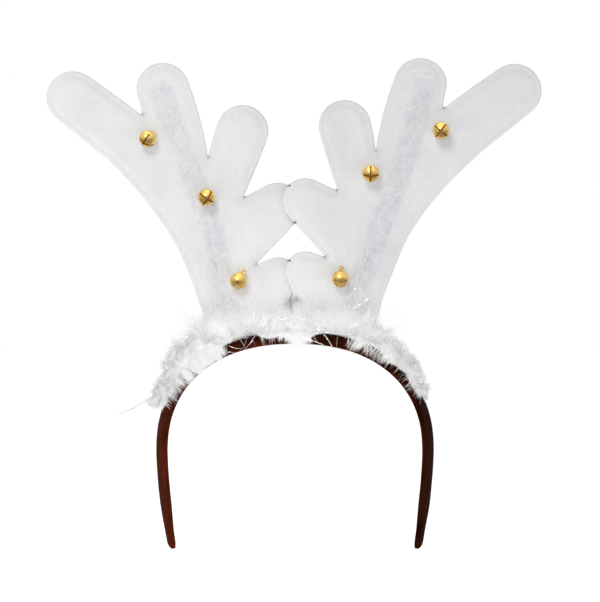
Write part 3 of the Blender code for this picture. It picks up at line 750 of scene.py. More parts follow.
def make_antler(word, side, tines, beam, foot, strip_rows):
    step, grid = 1.15, 1.25
    rim = outline(tines, beam, foot, 1.0)
    rim = even(rim, step)
    for _ in range(2):  # rounds the notches to a stitched turn
        rim = 0.25 * np.roll(rim, 1, 0) + 0.5 * rim + 0.25 * np.roll(rim, -1, 0)
    rim = even(rim, step)
    n = len(rim)
    tang = np.roll(rim, -1, 0) - np.roll(rim, 1, 0)
    tang /= np.linalg.norm(tang, axis=1)[:, None]
    inward = np.stack([-tang[:, 1], tang[:, 0]], 1)
    for _ in range(2):
        inward = inward + 0.5 * (np.roll(inward, 1, 0) + np.roll(inward, -1, 0))
        inward /= np.linalg.norm(inward, axis=1)[:, None]
    profile = rim_profile()
    rings = [rim + inward * inset for inset, _ in profile]
    heights = [np.full(n, h) for _, h in profile]
    # small flutes of the turned edge
    turn = np.arange(n) * step
    flute = np.array([noise.noise(Vector((t / 7.0, side * 5.0, 0.3))) for t in turn])
    for k in range(3, len(rings)):
        heights[k] = heights[k] + 0.07 * flute * min(1.0, (k - 2) / 3.0)
    last = rings[-1]
    lo, hi = rim.min(0), rim.max(0)
    gx, gz = np.arange(lo[0], hi[0], grid), np.arange(lo[1], hi[1], grid * 0.866)
    cells = np.array([(a + (grid / 2 if i % 2 else 0.0), b) for i, b in enumerate(gz) for a in gx])
    cells = cells[inside_loop(cells, rim)]
    cells = cells[segments_distance(cells, rim) > profile[-1][0] + 0.62 * grid]
    flat = [Vector(p) for p in np.vstack([last, cells])]
    edges = [(i, (i + 1) % n) for i in range(n)]
    verts, _, tris, orig, _, _ = geometry.delaunay_2d_cdt(flat, edges, [], 1, 1e-7)
    verts = np.array([(v.x, v.y) for v in verts])
    tris = np.array([t for t in tris if len(t) == 3])
    # the fill's own numbering of the last ring
    where = {}
    for i, o in enumerate(orig):
        for k in o:
            where[k] = i
    ring_ids = np.array([where[i] for i in range(n)])

    crotches = []
    for row in tines:
        c = np.array([row[3], row[4]])
        near = rim[np.argmin(np.linalg.norm(rim - c, axis=1))]
        k = np.argmin(np.linalg.norm(rim - c, axis=1))
        crotches.append((near[0], near[1], inward[k][0], inward[k][1]))
    crotches = crotches[:4]
    bells = [(o, u) for s, o, u, *_ in BELLS if s == side]
    strip = through(strip_rows, 3.0)
    d_fill = segments_distance(verts, rim)

    points, faces = [], []
    # strip marks the stiffener seen through the felt; the other two masks carry painted shade
    attrs = {"strip": [], "rim": [], "notch_gap_shade": []}
    ring0 = None

    def masks(p, d, front):
        off, along, total = line_distance(p, strip)
        soft = 1.3 * bump_noise(p[:, 0], p[:, 1], 4.5, 44.0 + side) + 0.8 * bump_noise(p[:, 0], p[:, 1], 2.0, 48.0 + side)
        m = smooth((STRIP_WIDTH / 2 + 3.0 + soft - off) / 4.4)
        m *= smooth((along - 1.0) / 6.0) * smooth((total - along + 1.5 * soft) / (5.0 if side < 0 else 2.0))
        wear = 0.78 + 0.42 * bump_noise(p[:, 0], p[:, 1], 11.0, 60.0 + side)
        m = np.clip(m * wear * (1.0 if front else 0.8) * (1.0 if side < 0 else 1.12), 0, 1)
        # painted shade for the felt's colour: a groove line inside the rim, the edge itself and the deeper front
        # creases
        r = np.exp(-((d - 2.3) / 0.55) ** 2) + 0.55 * np.exp(-(d / 0.5) ** 2)
        if front:
            for s, half, depth, rows in CREASES:
                if s == side and depth > 0.24:
                    off2, al, tot = line_distance(p, through(rows, 1.0))
                    r += 2.6 * depth * smooth(al / 4.0) * smooth((tot - al) / 4.0) * np.exp(-(off2 / (0.75 * half)) ** 2)
        # painted shade in the notches between tines and, on the front, in the gap between the antlers' feet
        notch_and_gap_shade = np.zeros(len(p))
        for cx, cz, ux, uz in crotches:
            q = np.hypot(p[:, 0] - cx - 0.5 * ux, p[:, 1] - cz - 0.5 * uz)
            notch_and_gap_shade = np.maximum(notch_and_gap_shade, np.exp(-(q / 1.25) ** 2))
        if front:
            for px, pz, size, weight in FEET_SHADE:
                q = np.hypot(side * p[:, 0] - px, p[:, 1] - pz)
                notch_and_gap_shade = np.maximum(notch_and_gap_shade, weight * np.exp(-(q / size) ** 2))
        return m, np.clip(r, 0, 1.6), notch_and_gap_shade

    for face in (-1, 1):
        start = len(points)
        ids = []
        for k, ring in enumerate(rings):
            if k == 0 and face == 1:
                ids.append(ring0)
                continue
            if k == len(rings) - 1:
                break
            mid = sway(side, ring[:, 0], ring[:, 1])
            y = mid + face * heights[k]
            base = len(points)
            points.extend(zip(side * ring[:, 0], y, ring[:, 1]))
            d = np.full(n, profile[k][0])
            m, r, notch_and_gap_shade = masks(ring, d, face < 0)
            for key, v in (("strip", m), ("rim", r), ("notch_gap_shade", notch_and_gap_shade)):
                attrs[key].extend(v)
            ids.append(np.arange(base, base + n))
            if k == 0:
                ring0 = ids[0]
        h = face_height(side, face, verts, d_fill, strip, crotches, bells)
        mid = sway(side, verts[:, 0], verts[:, 1])
        base = len(points)
        points.extend(zip(side * verts[:, 0], mid + face * h, verts[:, 1]))
        m, r, notch_and_gap_shade = masks(verts, d_fill, face < 0)
        for key, v in (("strip", m), ("rim", r), ("notch_gap_shade", notch_and_gap_shade)):
            attrs[key].extend(v)
        ids.append(base + ring_ids)
        j = np.arange(n)
        k2 = (j + 1) % n
        for a, b in zip(ids, ids[1:]):
            faces.extend(np.stack([a[j], a[k2], b[k2], b[j]], 1).tolist())
        faces.extend((tris + base).tolist())
    ob = outward(new_object(f"felt_antler_{word}", points, faces, [FELT_MAT], attrs=attrs))
    ob["rim_count"] = n
    place(ob, "felt", f"antler_{word}_front", f"antler_{word}_back")
    return rim, inward, crotches


# =============================================================================
# Thread and wire tubes
# =============================================================================
def tube(points, faces, path, radius, around=8, taper=None):
    """Adds a closed tube along a path to the lists."""
    path = np.asarray(path, float)
    t = np.gradient(path, axis=0)
    t /= np.linalg.norm(t, axis=1)[:, None]
    ref = np.array([0.0, 0.0, 1.0]) if abs(t[0, 2]) < 0.9 else np.array([1.0, 0.0, 0.0])
    u = np.cross(t[0], ref)
    u /= np.linalg.norm(u)
    base = len(points)
    for i, p in enumerate(path):
        u = u - t[i] * np.dot(u, t[i])
        u /= np.linalg.norm(u)
        v = np.cross(t[i], u)
        r = radius * (1.0 if taper is None else taper[i])
        for k in range(around):
            q = 2 * math.pi * k / around
            points.append(tuple(p + r * (math.cos(q) * u + math.sin(q) * v)))
    for i in range(len(path) - 1):
        a, b = base + i * around, base + (i + 1) * around
        for k in range(around):
            j = (k + 1) % around
            faces.append((a + k, a + j, b + j, b + k))
    faces.append(tuple(base + k for k in reversed(range(around))))
    faces.append(tuple(base + (len(path) - 1) * around + k for k in range(around)))


def bezier(p0, p1, p2, n):
    t = np.linspace(0, 1, n)[:, None]
    return (1 - t) ** 2 * np.array(p0) + 2 * t * (1 - t) * np.array(p1) + t * t * np.array(p2)


# =============================================================================
# Bells
# =============================================================================
def slit_outline(step=0.16):
    """The cross slit on the unrolled lower half, as distances along the ball."""
    reach = BELL_R * math.acos(SLIT_TOP)  # from the lowest point to a slit's round end
    h, r = SLIT_WIDTH / 2, SLIT_HOLE_R
    neck = reach - math.sqrt(r * r - h * h)
    pts = []
    for arm in range(4):
        q = arm * math.pi / 2
        rows = [(h + 0.12, h)]
        n = max(2, int((neck - h) / (step * 1.6)))
        rows += [(mix(h + 0.12, neck, (i + 1) / n), h) for i in range(n)]
        open_angle = math.asin(h / r)
        m = 18
        for i in range(1, m):
            a = mix(math.pi - open_angle, -math.pi + open_angle, i / m)
            rows.append((reach + r * math.cos(a), r * math.sin(a)))
        rows += [(mix(neck, h + 0.12, i / n), -h) for i in range(n + 1)]
        # corner between this arm and the one clockwise of it is rounded
        for x, y in rows:
            pts.append((x * math.cos(q) - y * math.sin(q), x * math.sin(q) + y * math.cos(q)))
    # order: arms were walked clockwise inside each arm, so walk arms clockwise
    per = len(pts) // 4
    order = []
    for arm in (0, 3, 2, 1):
        order += pts[arm * per:(arm + 1) * per]
    return np.array(order)


def bell_mesh(seed):
    """Ball shell with the slit cut out; make_bells adds its wall, a rounded slit edge and the wire loop."""
    far = BELL_R * math.pi * 0.80  # where the lower pattern meets the cap
    slit = slit_outline()
    pts = [tuple(p) for p in slit]
    ns = len(slit)
    around = 96
    ring = [(far * math.cos(2 * math.pi * i / around), far * math.sin(2 * math.pi * i / around))
            for i in range(around)]
    pts += ring
    edges = [(i, (i + 1) % ns) for i in range(ns)]
    edges += [(ns + i, ns + (i + 1) % around) for i in range(around)]
    fill = []
    g = 0.34
    rows = int(far / (g * 0.866)) + 1
    for r in range(-rows, rows + 1):
        for c in range(-rows - 4, rows + 5):
            p = ((c + (0.5 if r % 2 else 0.0)) * g, r * g * 0.866)
            if math.hypot(*p) < far - 0.25:
                fill.append(p)
    fill = np.array(fill)
    out = ~inside_loop(fill, slit)
    fill = fill[out]
    fill = fill[segments_distance(fill, slit) > 0.17]
    pts += [tuple(p) for p in fill]
    verts, _, tris, orig, _, _ = geometry.delaunay_2d_cdt(
        [Vector(p) for p in pts], edges, [], 0, 1e-7)
    v2 = np.array([(v.x, v.y) for v in verts])
    tris = np.array([t for t in tris if len(t) == 3])
    mid = v2[tris].mean(1)
    tris = tris[~inside_loop(mid, slit)]
    run = np.hypot(v2[:, 0], v2[:, 1])
    a = run / BELL_R
    flat = np.where(run > 1e-9, run, 1.0)
    co = np.stack([BELL_R * np.sin(a) * v2[:, 0] / flat, BELL_R * np.sin(a) * v2[:, 1] / flat,
                   -BELL_R * np.cos(a)], 1)
    # the four tongues are not perfectly level
    for arm in range(4):
        q = math.pi / 4 + arm * math.pi / 2
        near = np.exp(-((np.arctan2(np.sin(np.arctan2(v2[:, 1], v2[:, 0]) - q),
                                    np.cos(np.arctan2(v2[:, 1], v2[:, 0]) - q))) / 0.6) ** 2)
        push = (-0.05, 0.04, -0.02, 0.06)[(arm + seed) % 4] * near * np.exp(-(a / 0.8) ** 2)
        co *= (1.0 + push / BELL_R)[:, None]
    lookup = {}
    for i, o in enumerate(orig):
        for k in o:
            lookup[k] = i
    rim_ids = [lookup[ns + i] for i in range(around)]
    points = co.tolist()
    faces = [tuple(t) for t in tris]
    prev = rim_ids
    levels = 7
    for lev in range(1, levels):
        q = mix(far / BELL_R, math.pi, lev / levels)
        ids = []
        for i in range(around):
            w = 2 * math.pi * i / around
            ids.append(len(points))
            points.append([BELL_R * math.sin(q) * math.cos(w), BELL_R * math.sin(q) * math.sin(w),
                           -BELL_R * math.cos(q)])
        for i in range(around):
            j = (i + 1) % around
            faces.append((prev[i], prev[j], ids[j], ids[i]))
        prev = ids
    top = len(points)
    points.append([0, 0, BELL_R])
    for i in range(around):
        faces.append((prev[i], prev[(i + 1) % around], top))
    return points, faces


def make_bells():
    reach_of = {}
    threads_p, threads_f = [], []
    for number, (side, out, up, lx, ly, lz, ax, ay, az) in enumerate(BELLS, 1):
        points, faces = bell_mesh(number)
        mesh = bpy.data.meshes.new(f"gold_bell_{number}")
        mesh.from_pydata((np.array(points) * MM).tolist(), [], faces)
        bm = bmesh.new()
        bm.from_mesh(mesh)
        bmesh.ops.remove_doubles(bm, verts=bm.verts, dist=1e-7)
        bmesh.ops.recalc_face_normals(bm, faces=bm.faces)
        # outwards: the top cap must look up
        bm.faces.ensure_lookup_table()
        highest = max(bm.faces, key=lambda f: f.calc_center_median().z)
        if highest.normal.z < 0:
            bmesh.ops.reverse_faces(bm, faces=bm.faces)
        bm.to_mesh(mesh)
        bm.free()
        ob = bpy.data.objects.new(f"gold_bell_{number}", mesh)
        bpy.context.scene.collection.objects.link(ob)
        wall = ob.modifiers.new("wall", "SOLIDIFY")
        wall.thickness = BELL_WALL * MM
        wall.offset = -1.0
        lip = ob.modifiers.new("lip", "BEVEL")
        lip.width = 0.09 * MM
        lip.segments = 3
        lip.limit_method = "ANGLE"
        lip.angle_limit = math.radians(50)
        bpy.context.view_layer.update()
        done = bpy.data.meshes.new_from_object(ob.evaluated_get(bpy.context.evaluated_depsgraph_get()))
        ob.modifiers.clear()
        ob.data = done
        # wire loop with its solder foot
        lp, lf = [], []
        centre_z = BELL_R + LOOP_R - 0.45
        path = [(LOOP_R * math.cos(q), 0.0, centre_z + LOOP_R * math.sin(q))
                for q in np.linspace(math.radians(-78), math.radians(258), 40)]
        tube(lp, lf, path, LOOP_WIRE_R, 14)
        foot_rows = ((0.0, 0.62), (0.95, 0.42), (1.15, 0.20), (0.85, 0.0))
        base = len(lp)
        m = 28
        for zz, rr in ((5.02, 1.35), (5.22, 1.12), (5.42, 0.80), (5.55, 0.42)):
            for k in range(m):
                q = 2 * math.pi * k / m
                lp.append((rr * 1.15 * math.cos(q), rr * 0.75 * math.sin(q), zz))
        for i in range(3):
            for k in range(m):
                j = (k + 1) % m
                lf.append((base + i * m + k, base + i * m + j, base + (i + 1) * m + j, base + (i + 1) * m + k))
        lf.append(tuple(base + 3 * m + k for k in range(m)))
        lf.append(tuple(base + k for k in reversed(range(m))))
        loop_mesh = bpy.data.meshes.new("loop")
        loop_mesh.from_pydata((np.array(lp) * MM).tolist(), [], lf)
        bm = bmesh.new()
        bm.from_mesh(done)
        bm.from_mesh(loop_mesh)
        bm.to_mesh(done)
        bm.free()
        bpy.data.meshes.remove(loop_mesh)
        done.materials.clear()
        done.materials.append(GOLD_MAT)
        done.shade_smooth()
        done.set_sharp_from_angle(angle=math.radians(55))
        # put it where its solid is
        up_dir = Vector((lx, ly, lz)).normalized()
        x = Vector((ax, ay, az))
        x = (x - up_dir * x.dot(up_dir)).normalized()
        turn = Matrix((x, up_dir.cross(x), up_dir)).transposed().to_4x4()
        lo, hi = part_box(f"bell_{number}")
        reach = max((turn @ v.co).y for v in done.vertices)
        at = Vector((side * out * MM, hi.y - reach, up * MM))
        done.transform(Matrix.Translation(at) @ turn)
        done.update()
        place(ob, "gold", f"bell_{number}")
        # sewing thread: three turns through the loop into the felt
        eye = (Matrix.Translation(at) @ turn) @ Vector((0, 0, (centre_z + 0.4) * MM))
        eye = np.array(eye) / MM
        foot = np.array([side * out + 0.55 * up_dir.x * 6, 0, up + 0.55 * up_dir.z * 6])
        face_y = float(sway(side, np.array([abs(foot[0])]), np.array([foot[2]]))[0]) - 2.2
        axis = np.array(turn @ Vector((0, 1, 0)))
        for k, spread in enumerate((-0.45, 0.0, 0.45)):
            a = np.array([foot[0] - 0.9 + spread, face_y + 0.5, foot[2] - 0.5 - spread])
            b = np.array([foot[0] + 0.9 + spread, face_y + 0.5, foot[2] + 0.5 - spread])
            peak = eye + np.array(up_dir) * 0.35 + axis * spread * 0.35
            path = np.vstack([bezier(a, (a + peak) / 2 + np.array([0, -0.5, 0]), peak, 9)[:-1],
                              bezier(peak, (b + peak) / 2 + np.array([0, -0.5, 0]), b, 9)])
            tube(threads_p, threads_f, path, 0.17, 6)
        # its tie on the back layer
        back_y = float(sway(side, np.array([out]), np.array([up]))[0]) + 2.35
        for k in range(3):
            q = 0.5 + 0.9 * k + number
            c = np.array([side * out, back_y - 0.25, up])
            dirn = np.array([math.cos(q), 0, math.sin(q)])
            tube(threads_p, threads_f, bezier(c - 1.3 * dirn, c + np.array([0, 0.75, 0]), c + 1.3 * dirn, 9), 0.19, 6)
    ob = outward(new_object("bell_threads", threads_p, threads_f, [THREAD_MAT]))
    place(ob, "thread")


# =============================================================================
# Stitches at the notches and where the antlers cross
# =============================================================================
def make_stitches(name, side, rim, inward, crotches):
    points, faces = [], []
    for cx, cz, ux, uz in crotches:
        p = np.array([cx + 0.55 * ux, cz + 0.55 * uz])
        mid = float(sway(side, np.array([p[0]]), np.array([p[1]]))[0])
        for k in (-0.5, 0.0, 0.5):
            q = p + np.array([-uz, ux]) * k * 0.9 + np.array([ux, uz]) * 0.25 * abs(k)
            front = np.array([side * q[0], mid - 1.05, q[1]])
            back = np.array([side * q[0], mid + 1.05, q[1]])
            out = np.array([side * (q[0] - 0.95 * ux), mid, q[1] - 0.95 * uz])
            path = np.vstack([
                bezier(front + np.array([side * 1.0 * ux, 0.15, 1.0 * uz]), front + np.array([0, -0.45, 0]), out, 9)[:-1],
                bezier(out, back + np.array([0, 0.45, 0]), back + np.array([side * 1.0 * ux, -0.15, 1.0 * uz]), 9),
            ])
            tube(points, faces, path, 0.24, 6)
    ob = outward(new_object(name, points, faces, [TACK_MAT]))
    place(ob, "thread")


def make_joining_tacks(rims):
    """Stitches over the rim of the front antler into the face of the other, where they cross."""
    (left, left_in), (right, right_in) = rims["left"], rims["right"]
    a0, a1 = left * (-1, 1), np.roll(left * (-1, 1), -1, 0)
    b0, b1 = right, np.roll(right, -1, 0)
    points, faces = [], []
    found = []
    for i in np.nonzero((np.abs(a0[:, 0]) < 24) & (a0[:, 1] > 34) & (a0[:, 1] < 112))[0]:
        d, e = a1[i] - a0[i], b1 - b0
        w = b0 - a0[i]
        cross = d[0] * e[:, 1] - d[1] * e[:, 0]
        cross = np.where(np.abs(cross) < 1e-12, 1e-12, cross)
        u = (w[:, 0] * e[:, 1] - w[:, 1] * e[:, 0]) / cross
        v = (w[:, 0] * d[1] - w[:, 1] * d[0]) / cross
        for j in np.nonzero((u >= 0) & (u < 1) & (v >= 0) & (v < 1))[0]:
            found.append((a0[i] + d * u[j], left_in[i] * (-1, 1), right_in[j]))
    for p, ul, ur in found:
        yr = float(sway(1, np.array([abs(p[0])]), np.array([p[1]]))[0])
        yl = float(sway(-1, np.array([abs(p[0])]), np.array([p[1]]))[0])
        across = np.array([-ur[1], ur[0]])
        for k in (-0.42, 0.0, 0.42):
            q = p + across * k
            rows = ((q + 1.15 * ur, yr - 1.45), (q + 0.70 * ur, yr - 1.75), (q + 0.15 * ur, yr - 1.65),
                    (q - 0.40 * ur + 0.25 * ul, mix(yr, yl, 0.25)), (q - 0.35 * ur + 0.45 * ul, mix(yr, yl, 0.6)),
                    (q - 0.15 * ur + 0.80 * ul, yl - 1.35))
            path = through([(r[0][0], r[1], r[0][1]) for r in rows], 0.4)
            tube(points, faces, path, 0.19, 6)
    print("tacks", [tuple(np.round(f[0], 1)) for f in found])
    ob = outward(new_object("joining_tacks", points, faces, [TACK_MAT]))
    place(ob, "thread")


# =============================================================================
# Fluffy trim
# =============================================================================
def rows_at(rows, s):
    table = np.array(rows)
    return [np.interp(s, table[:, 0], table[:, i]) for i in (1, 2, 3)]


FLOOR = (BAND_THICK + BAND_CROWN) / math.cos(BAND_TILT) + GAP
LEAN = math.tan(BAND_TILT)


def to_world(s, y, n):
    x, z, nx, nz, _, _ = arch_at(s)
    return np.stack([x + nx * n, y, z + nz * n], -1)


def section_radius(theta, a, b):
    """Radius of the section at an angle from the front, anticlockwise over the top."""
    c, s = np.abs(np.cos(theta)), np.abs(np.sin(theta))
    return ((c / a) ** 2.3 + (s / b) ** 2.3) ** (-1 / 2.3)


# Where the tufts end on the strip's front: along, level above the inner face,
# the share of the tufts that fall below it, and how loose those are
LOWER = (
    (-97.0, 4.0, 0.05, 0.9), (-92.0, 2.6, 0.03, 0.9), (-87.5, 2.4, 0.04, 0.9), (-85.5, 1.2, 0.22, 0.4),
    (-83.5, 1.8, 0.04, 0.9), (-80.0, 2.6, 0.04, 0.9), (-78.2, 1.2, 0.30, 0.3), (-76.5, 2.6, 0.04, 0.9),
    (-74.0, 2.4, 0.05, 0.8), (-72.0, -3.0, 0.60, 0.3), (-66.0, -3.8, 1.00, 0.1), (-50.0, -3.8, 0.96, 0.1),
    (-46.0, -3.0, 0.55, 0.2), (-44.2, 2.3, 0.02, 0.8), (-39.0, 4.1, 0.001, 1.0), (-34.0, 5.6, 0.001, 1.0),
    (-29.0, 6.7, 0.001, 1.0), (-23.0, 6.9, 0.001, 1.0), (-21.4, 4.5, 0.01, 0.9), (-20.0, 2.3, 0.02, 0.8),
    (-15.5, -0.2, 0.01, 0.9), (-10.0, 1.2, 0.015, 0.9), (-8.5, -3.0, 0.60, 0.2), (0.0, -3.6, 0.80, 0.2),
    (8.5, -2.0, 0.50, 0.3), (9.8, 2.4, 0.01, 0.9), (14.0, 4.6, 0.002, 1.0), (19.5, 6.6, 0.001, 1.0),
    (25.5, 6.5, 0.002, 1.0), (29.6, 6.6, 0.006, 1.0), (34.0, 5.6, 0.015, 1.0), (35.6, 5.0, 0.05, 0.8),
    (37.4, 4.2, 0.08, 0.7), (39.5, 3.0, 0.22, 0.5), (41.5, 3.5, 0.14, 0.5), (43.5, 5.6, 0.03, 0.9), (48.7, 5.3, 0.03, 0.9),
    (51.0, 4.4, 0.06, 0.8), (53.0, 3.0, 0.10, 0.6), (54.7, 2.8, 0.04, 0.9), (57.0, -1.0, 0.35, 0.5),
    (59.0, 0.4, 0.20, 0.5), (60.5, 2.0, 0.01, 1.0), (65.5, 3.1, 0.004, 1.0), (71.0, 3.8, 0.004, 1.0),
    (75.0, 2.5, 0.02, 1.0), (77.7, 1.6, 0.03, 1.0), (85.0, 0.5, 0.006, 1.0), (91.0, 0.6, 0.006, 1.0),
)


def lifted(level, low, high):
    """How far back the trim is held off the strip where the satin shows."""
    return mix(low, high, smooth((np.asarray(level) - 2.5) / 2.5))


# along, height of the upward tufts' ends above the inner face
OUTER = (
    (-99.0, 20.0), (-95.0, 17.5), (-91.0, 16.3), (-87.5, 14.6), (-84.0, 14.8), (-81.5, 15.4), (-79.0, 16.8),
    (-76.0, 18.6), (-73.0, 21.6), (-70.5, 22.4), (-68.5, 24.6), (-66.5, 22.0), (-63.0, 18.0), (-60.2, 16.0),
    (-58.4, 22.0), (-56.0, 22.5), (-53.4, 25.5), (-51.0, 27.5), (-49.2, 31.0), (-46.0, 32.0), (-43.0, 27.0),
    (-38.0, 23.5), (-33.0, 22.5), (-27.0, 21.5), (-20.0, 21.0), (-12.0, 20.5), (-6.5, 19.8), (-4.0, 17.6), (-1.0, 17.0), (2.0, 17.8),
    (4.0, 21.5), (12.0, 20.5), (20.0, 21.5), (28.0, 23.0), (33.0, 24.5), (38.0, 27.0), (42.3, 28.5),
    (46.0, 24.5), (49.3, 19.5), (52.0, 16.5), (55.0, 15.5), (58.3, 16.6), (61.5, 14.6), (65.0, 15.4),
    (68.9, 15.4), (72.0, 13.2), (75.5, 13.2), (78.7, 12.4), (82.0, 10.0), (85.9, 8.4), (89.0, 6.2), (92.0, 5.0),
)


def make_core(name, rows, nodes, share):
    """The matted down close to the trim's own cord."""
    s0, s1 = rows[0][0] + 3.0, rows[-1][0] - 3.0
    count, around = 150, 40
    s = np.linspace(s0, s1, count)
    h, f, r = rows_at(rows, s)
    rings = []
    for i in range(count):
        q = 2 * np.pi * (np.arange(around) + 0.5) / around
        end = min(1.0, math.sqrt(max(0.0, min(i, count - 1 - i) / 9.0)))
        end = max(end, 0.08)
        c, sn = np.cos(q), np.sin(q)
        lump = np.array([noise.noise(Vector((s[i] / 4.5, math.cos(a) * 1.6, math.sin(a) * 1.6)))
                         for a in q])
        k = share * end * (1.0 + 0.30 * lump)
        a, b = (r[i] - f[i]) / 2, h[i] / 2
        y = (f[i] + r[i]) / 2 + a * k * np.sign(c) * np.abs(c) ** 0.87
        n = FLOOR + LEAN * y + b + b * k * np.sign(sn) * np.abs(sn) ** 0.87
        n -= b * (1 - share) * 0.55
        n = np.maximum(n, FLOOR - 0.15 + LEAN * y)
        if rows is TRIM_FRONT:
            level = np.interp(s[i], [row[0] for row in LOWER], [row[1] for row in LOWER]) + 1.6
            n = np.where(y < lifted(level - 1.6, -3.8, 9.0), np.maximum(n, level), n)
            y = np.maximum(y, -13.0 + 0.55 * max(level, 0.0))
        rings.append(to_world(np.full(around, s[i]), y, n))
    pts = np.concatenate(rings)
    i, j = np.meshgrid(np.arange(count - 1), np.arange(around), indexing="ij")
    a, b, k = i * around, (i + 1) * around, (j + 1) % around
    quads = np.stack([a + j, a + k, b + k, b + j], 2).reshape(-1, 4).tolist()
    quads.append(list(range(around)))
    quads.append([(count - 1) * around + t for t in range(around)])
    ob = outward(new_object(name, pts, quads, [CORE_MAT]))
    ob.visible_shadow = False  # loose down lets the light through
    ob.visible_diffuse = False
    place(ob, "fluff", *nodes)
    return ob


def strands(name, rows, span, n_tufts, per_tuft, back, seed, shares, casting):
    """Soft fan-shaped tufts of fine ribbons growing from the trim's cord."""
    rng = np.random.default_rng(seed)
    lo, hi = max(span[0], rows[0][0] + 1.2), min(span[1], rows[-1][0] - 1.2)
    g = n_tufts
    s = lo + (hi - lo) * (rng.permutation(g) + rng.uniform(0, 1, g)) / g
    h, f, r = rows_at(rows, s)
    a, b = (r - f) / 2, h / 2
    yc = (f + r) / 2
    nc = FLOOR + LEAN * yc + b * 0.80
    low_rows = np.array(LOWER)
    if back:
        theta = np.radians(50.0 + 186.0 * rng.uniform(0, 1, g) ** 0.92)
    else:
        wide = smooth((np.abs(s) - 50.0) / 6.0)
        theta = np.radians(mix(-38.0, mix(108.0, 205.0, wide), rng.uniform(0, 1, g) ** mix(0.90, 1.12, wide)))
    radius = section_radius(theta, a, b)
    wave = np.array([noise.noise(Vector((p / 5.5, q * 1.7, seed * 0.37))) for p, q in zip(s, theta)])
    outer = np.interp(s, [row[0] for row in OUTER], [row[1] for row in OUTER])
    rise = (outer * rng.uniform(0.90, 1.07, g) - nc) / np.maximum(np.sin(theta), 0.35)
    if back:
        length = radius * 1.25 * (1.0 + 0.36 * wave + rng.normal(0, 0.10, g))
    else:
        low = rng.uniform(0, 1, g) < mix(0.28, 0.42, wide)  # shorter tufts fill the body of the trim
        rise = np.where(low, radius * rng.uniform(0.85, 1.15, g) + 0.25 * (rise - radius), rise)
        length = mix(radius * (1.08 + 0.30 * wave + rng.normal(0, 0.10, g)), rise, smooth((np.sin(theta) - 0.40) / 0.45))
    if back:
        behind = rng.uniform(0, 1, g) < 0.10  # a bunch stands up behind the antlers' feet
        s = np.where(behind, rng.normal(-2.2, 3.0, g), s)
        theta = np.where(behind, rng.normal(math.radians(92), 0.20, g), theta)
        length = np.where(behind, radius * rng.uniform(1.7, 3.0, g), length)
    elif span[0] < 0 < span[1]:
        before = rng.uniform(0, 1, g) < 0.02  # a few stand up between the antlers' feet
        s = np.where(before, rng.normal(-2.6, 2.6, g), s)
        theta = np.where(before, rng.normal(math.radians(88), 0.16, g), theta)
        length = np.where(before, rng.uniform(9.0, 13.0, g), length)
    dy, dn = -np.cos(theta), np.sin(theta)
    slant = rng.normal(0.0, 0.26, g) + 0.25 * np.array([noise.noise(Vector((p / 9.0, 3.3, seed))) for p in s])
    slant -= 0.55 * smooth((-84.0 - s) / 9.0)
    # beside the antlers' feet the tufts stand up along the felt
    slant -= np.sign(s) * 0.42 * smooth((np.abs(s) - 41.0) / 4.0) * smooth((57.0 - np.abs(s)) / 5.0)
    axis = np.stack([slant, dy, dn + LEAN * dy], 1)
    reach = (22.0 - np.abs(yc)) / np.maximum(np.abs(np.cos(theta)), 0.05)
    length = np.clip(np.minimum(length, reach), 2.5, 26.0)
    axis /= np.linalg.norm(axis, axis=1)[:, None]
    e1 = np.stack([np.ones(g), np.zeros(g), np.zeros(g)], 1)
    e1 -= axis * (e1 * axis).sum(1)[:, None]
    e1 /= np.linalg.norm(e1, axis=1)[:, None]
    e2 = np.cross(axis, e1)
    turn = rng.uniform(0, math.pi, g)[:, None]
    e1, e2 = np.cos(turn) * e1 + np.sin(turn) * e2, -np.sin(turn) * e1 + np.cos(turn) * e2
    open1 = rng.uniform(0.13, 0.32, g)
    open2 = rng.uniform(0.07, 0.17, g)
    curl = rng.normal(0, 0.15, (g, 3))
    k = rng.integers(int(per_tuft * 0.6), int(per_tuft * 1.4) + 1, g)
    i = np.repeat(np.arange(g), k)
    m = len(i)
    al, be = rng.normal(0, 1, m), rng.normal(0, 1, m)
    way = axis[i] + e1[i] * (al * open1[i])[:, None] + e2[i] * (be * open2[i])[:, None]
    way /= np.linalg.norm(way, axis=1)[:, None]
    ragged = 0.52 + 0.52 * rng.uniform(0, 1, m) ** 0.80 - 0.07 * al ** 2
    loose = rng.uniform(0, 1, m) < 0.07
    run = length[i] * np.where(loose, rng.uniform(1.0, 1.35, m), np.clip(ragged, 0.3, 1.1))
    root = np.stack([s, yc, nc], 1)[i]
    root += axis[i] * (radius * 0.28)[i][:, None]
    root += rng.normal(0, 1, (m, 3)) * np.array([0.8, 0.7, 0.5])
    run = np.maximum(run - 0.28 * radius[i], 1.2)
    end = root + way * run[:, None] + (curl[i] + rng.normal(0, 0.07, (m, 3))) * run[:, None]
    bend = root + way * (run * 0.55)[:, None] - curl[i] * (run * 0.35)[:, None]
    bend += rng.normal(0, 0.05, (m, 3)) * run[:, None]
    t = np.array([0.0, 0.38, 0.72, 1.0])[None, :, None]
    c = (1 - t) ** 2 * root[:, None] + 2 * t * (1 - t) * bend[:, None] + t * t * end[:, None]
    c[:, 1:3] += rng.normal(0, 0.13, (m, 2, 3))
    cs, cy, cn = c[..., 0], c[..., 1], c[..., 2]
    free = np.zeros(m, bool)
    if not back:
        level = np.interp(cs, low_rows[:, 0], low_rows[:, 1])
        share = np.interp(s, low_rows[:, 0], low_rows[:, 2])[i]
        share = np.minimum(share, np.interp(cs[:, 3], low_rows[:, 0], low_rows[:, 2]))
        airy = np.interp(s, low_rows[:, 0], low_rows[:, 3])[i]
        one = np.where(rng.uniform(0, 1, m) < airy, rng.uniform(0, 1, m), rng.uniform(0, 1, g)[i])
        free = one < share
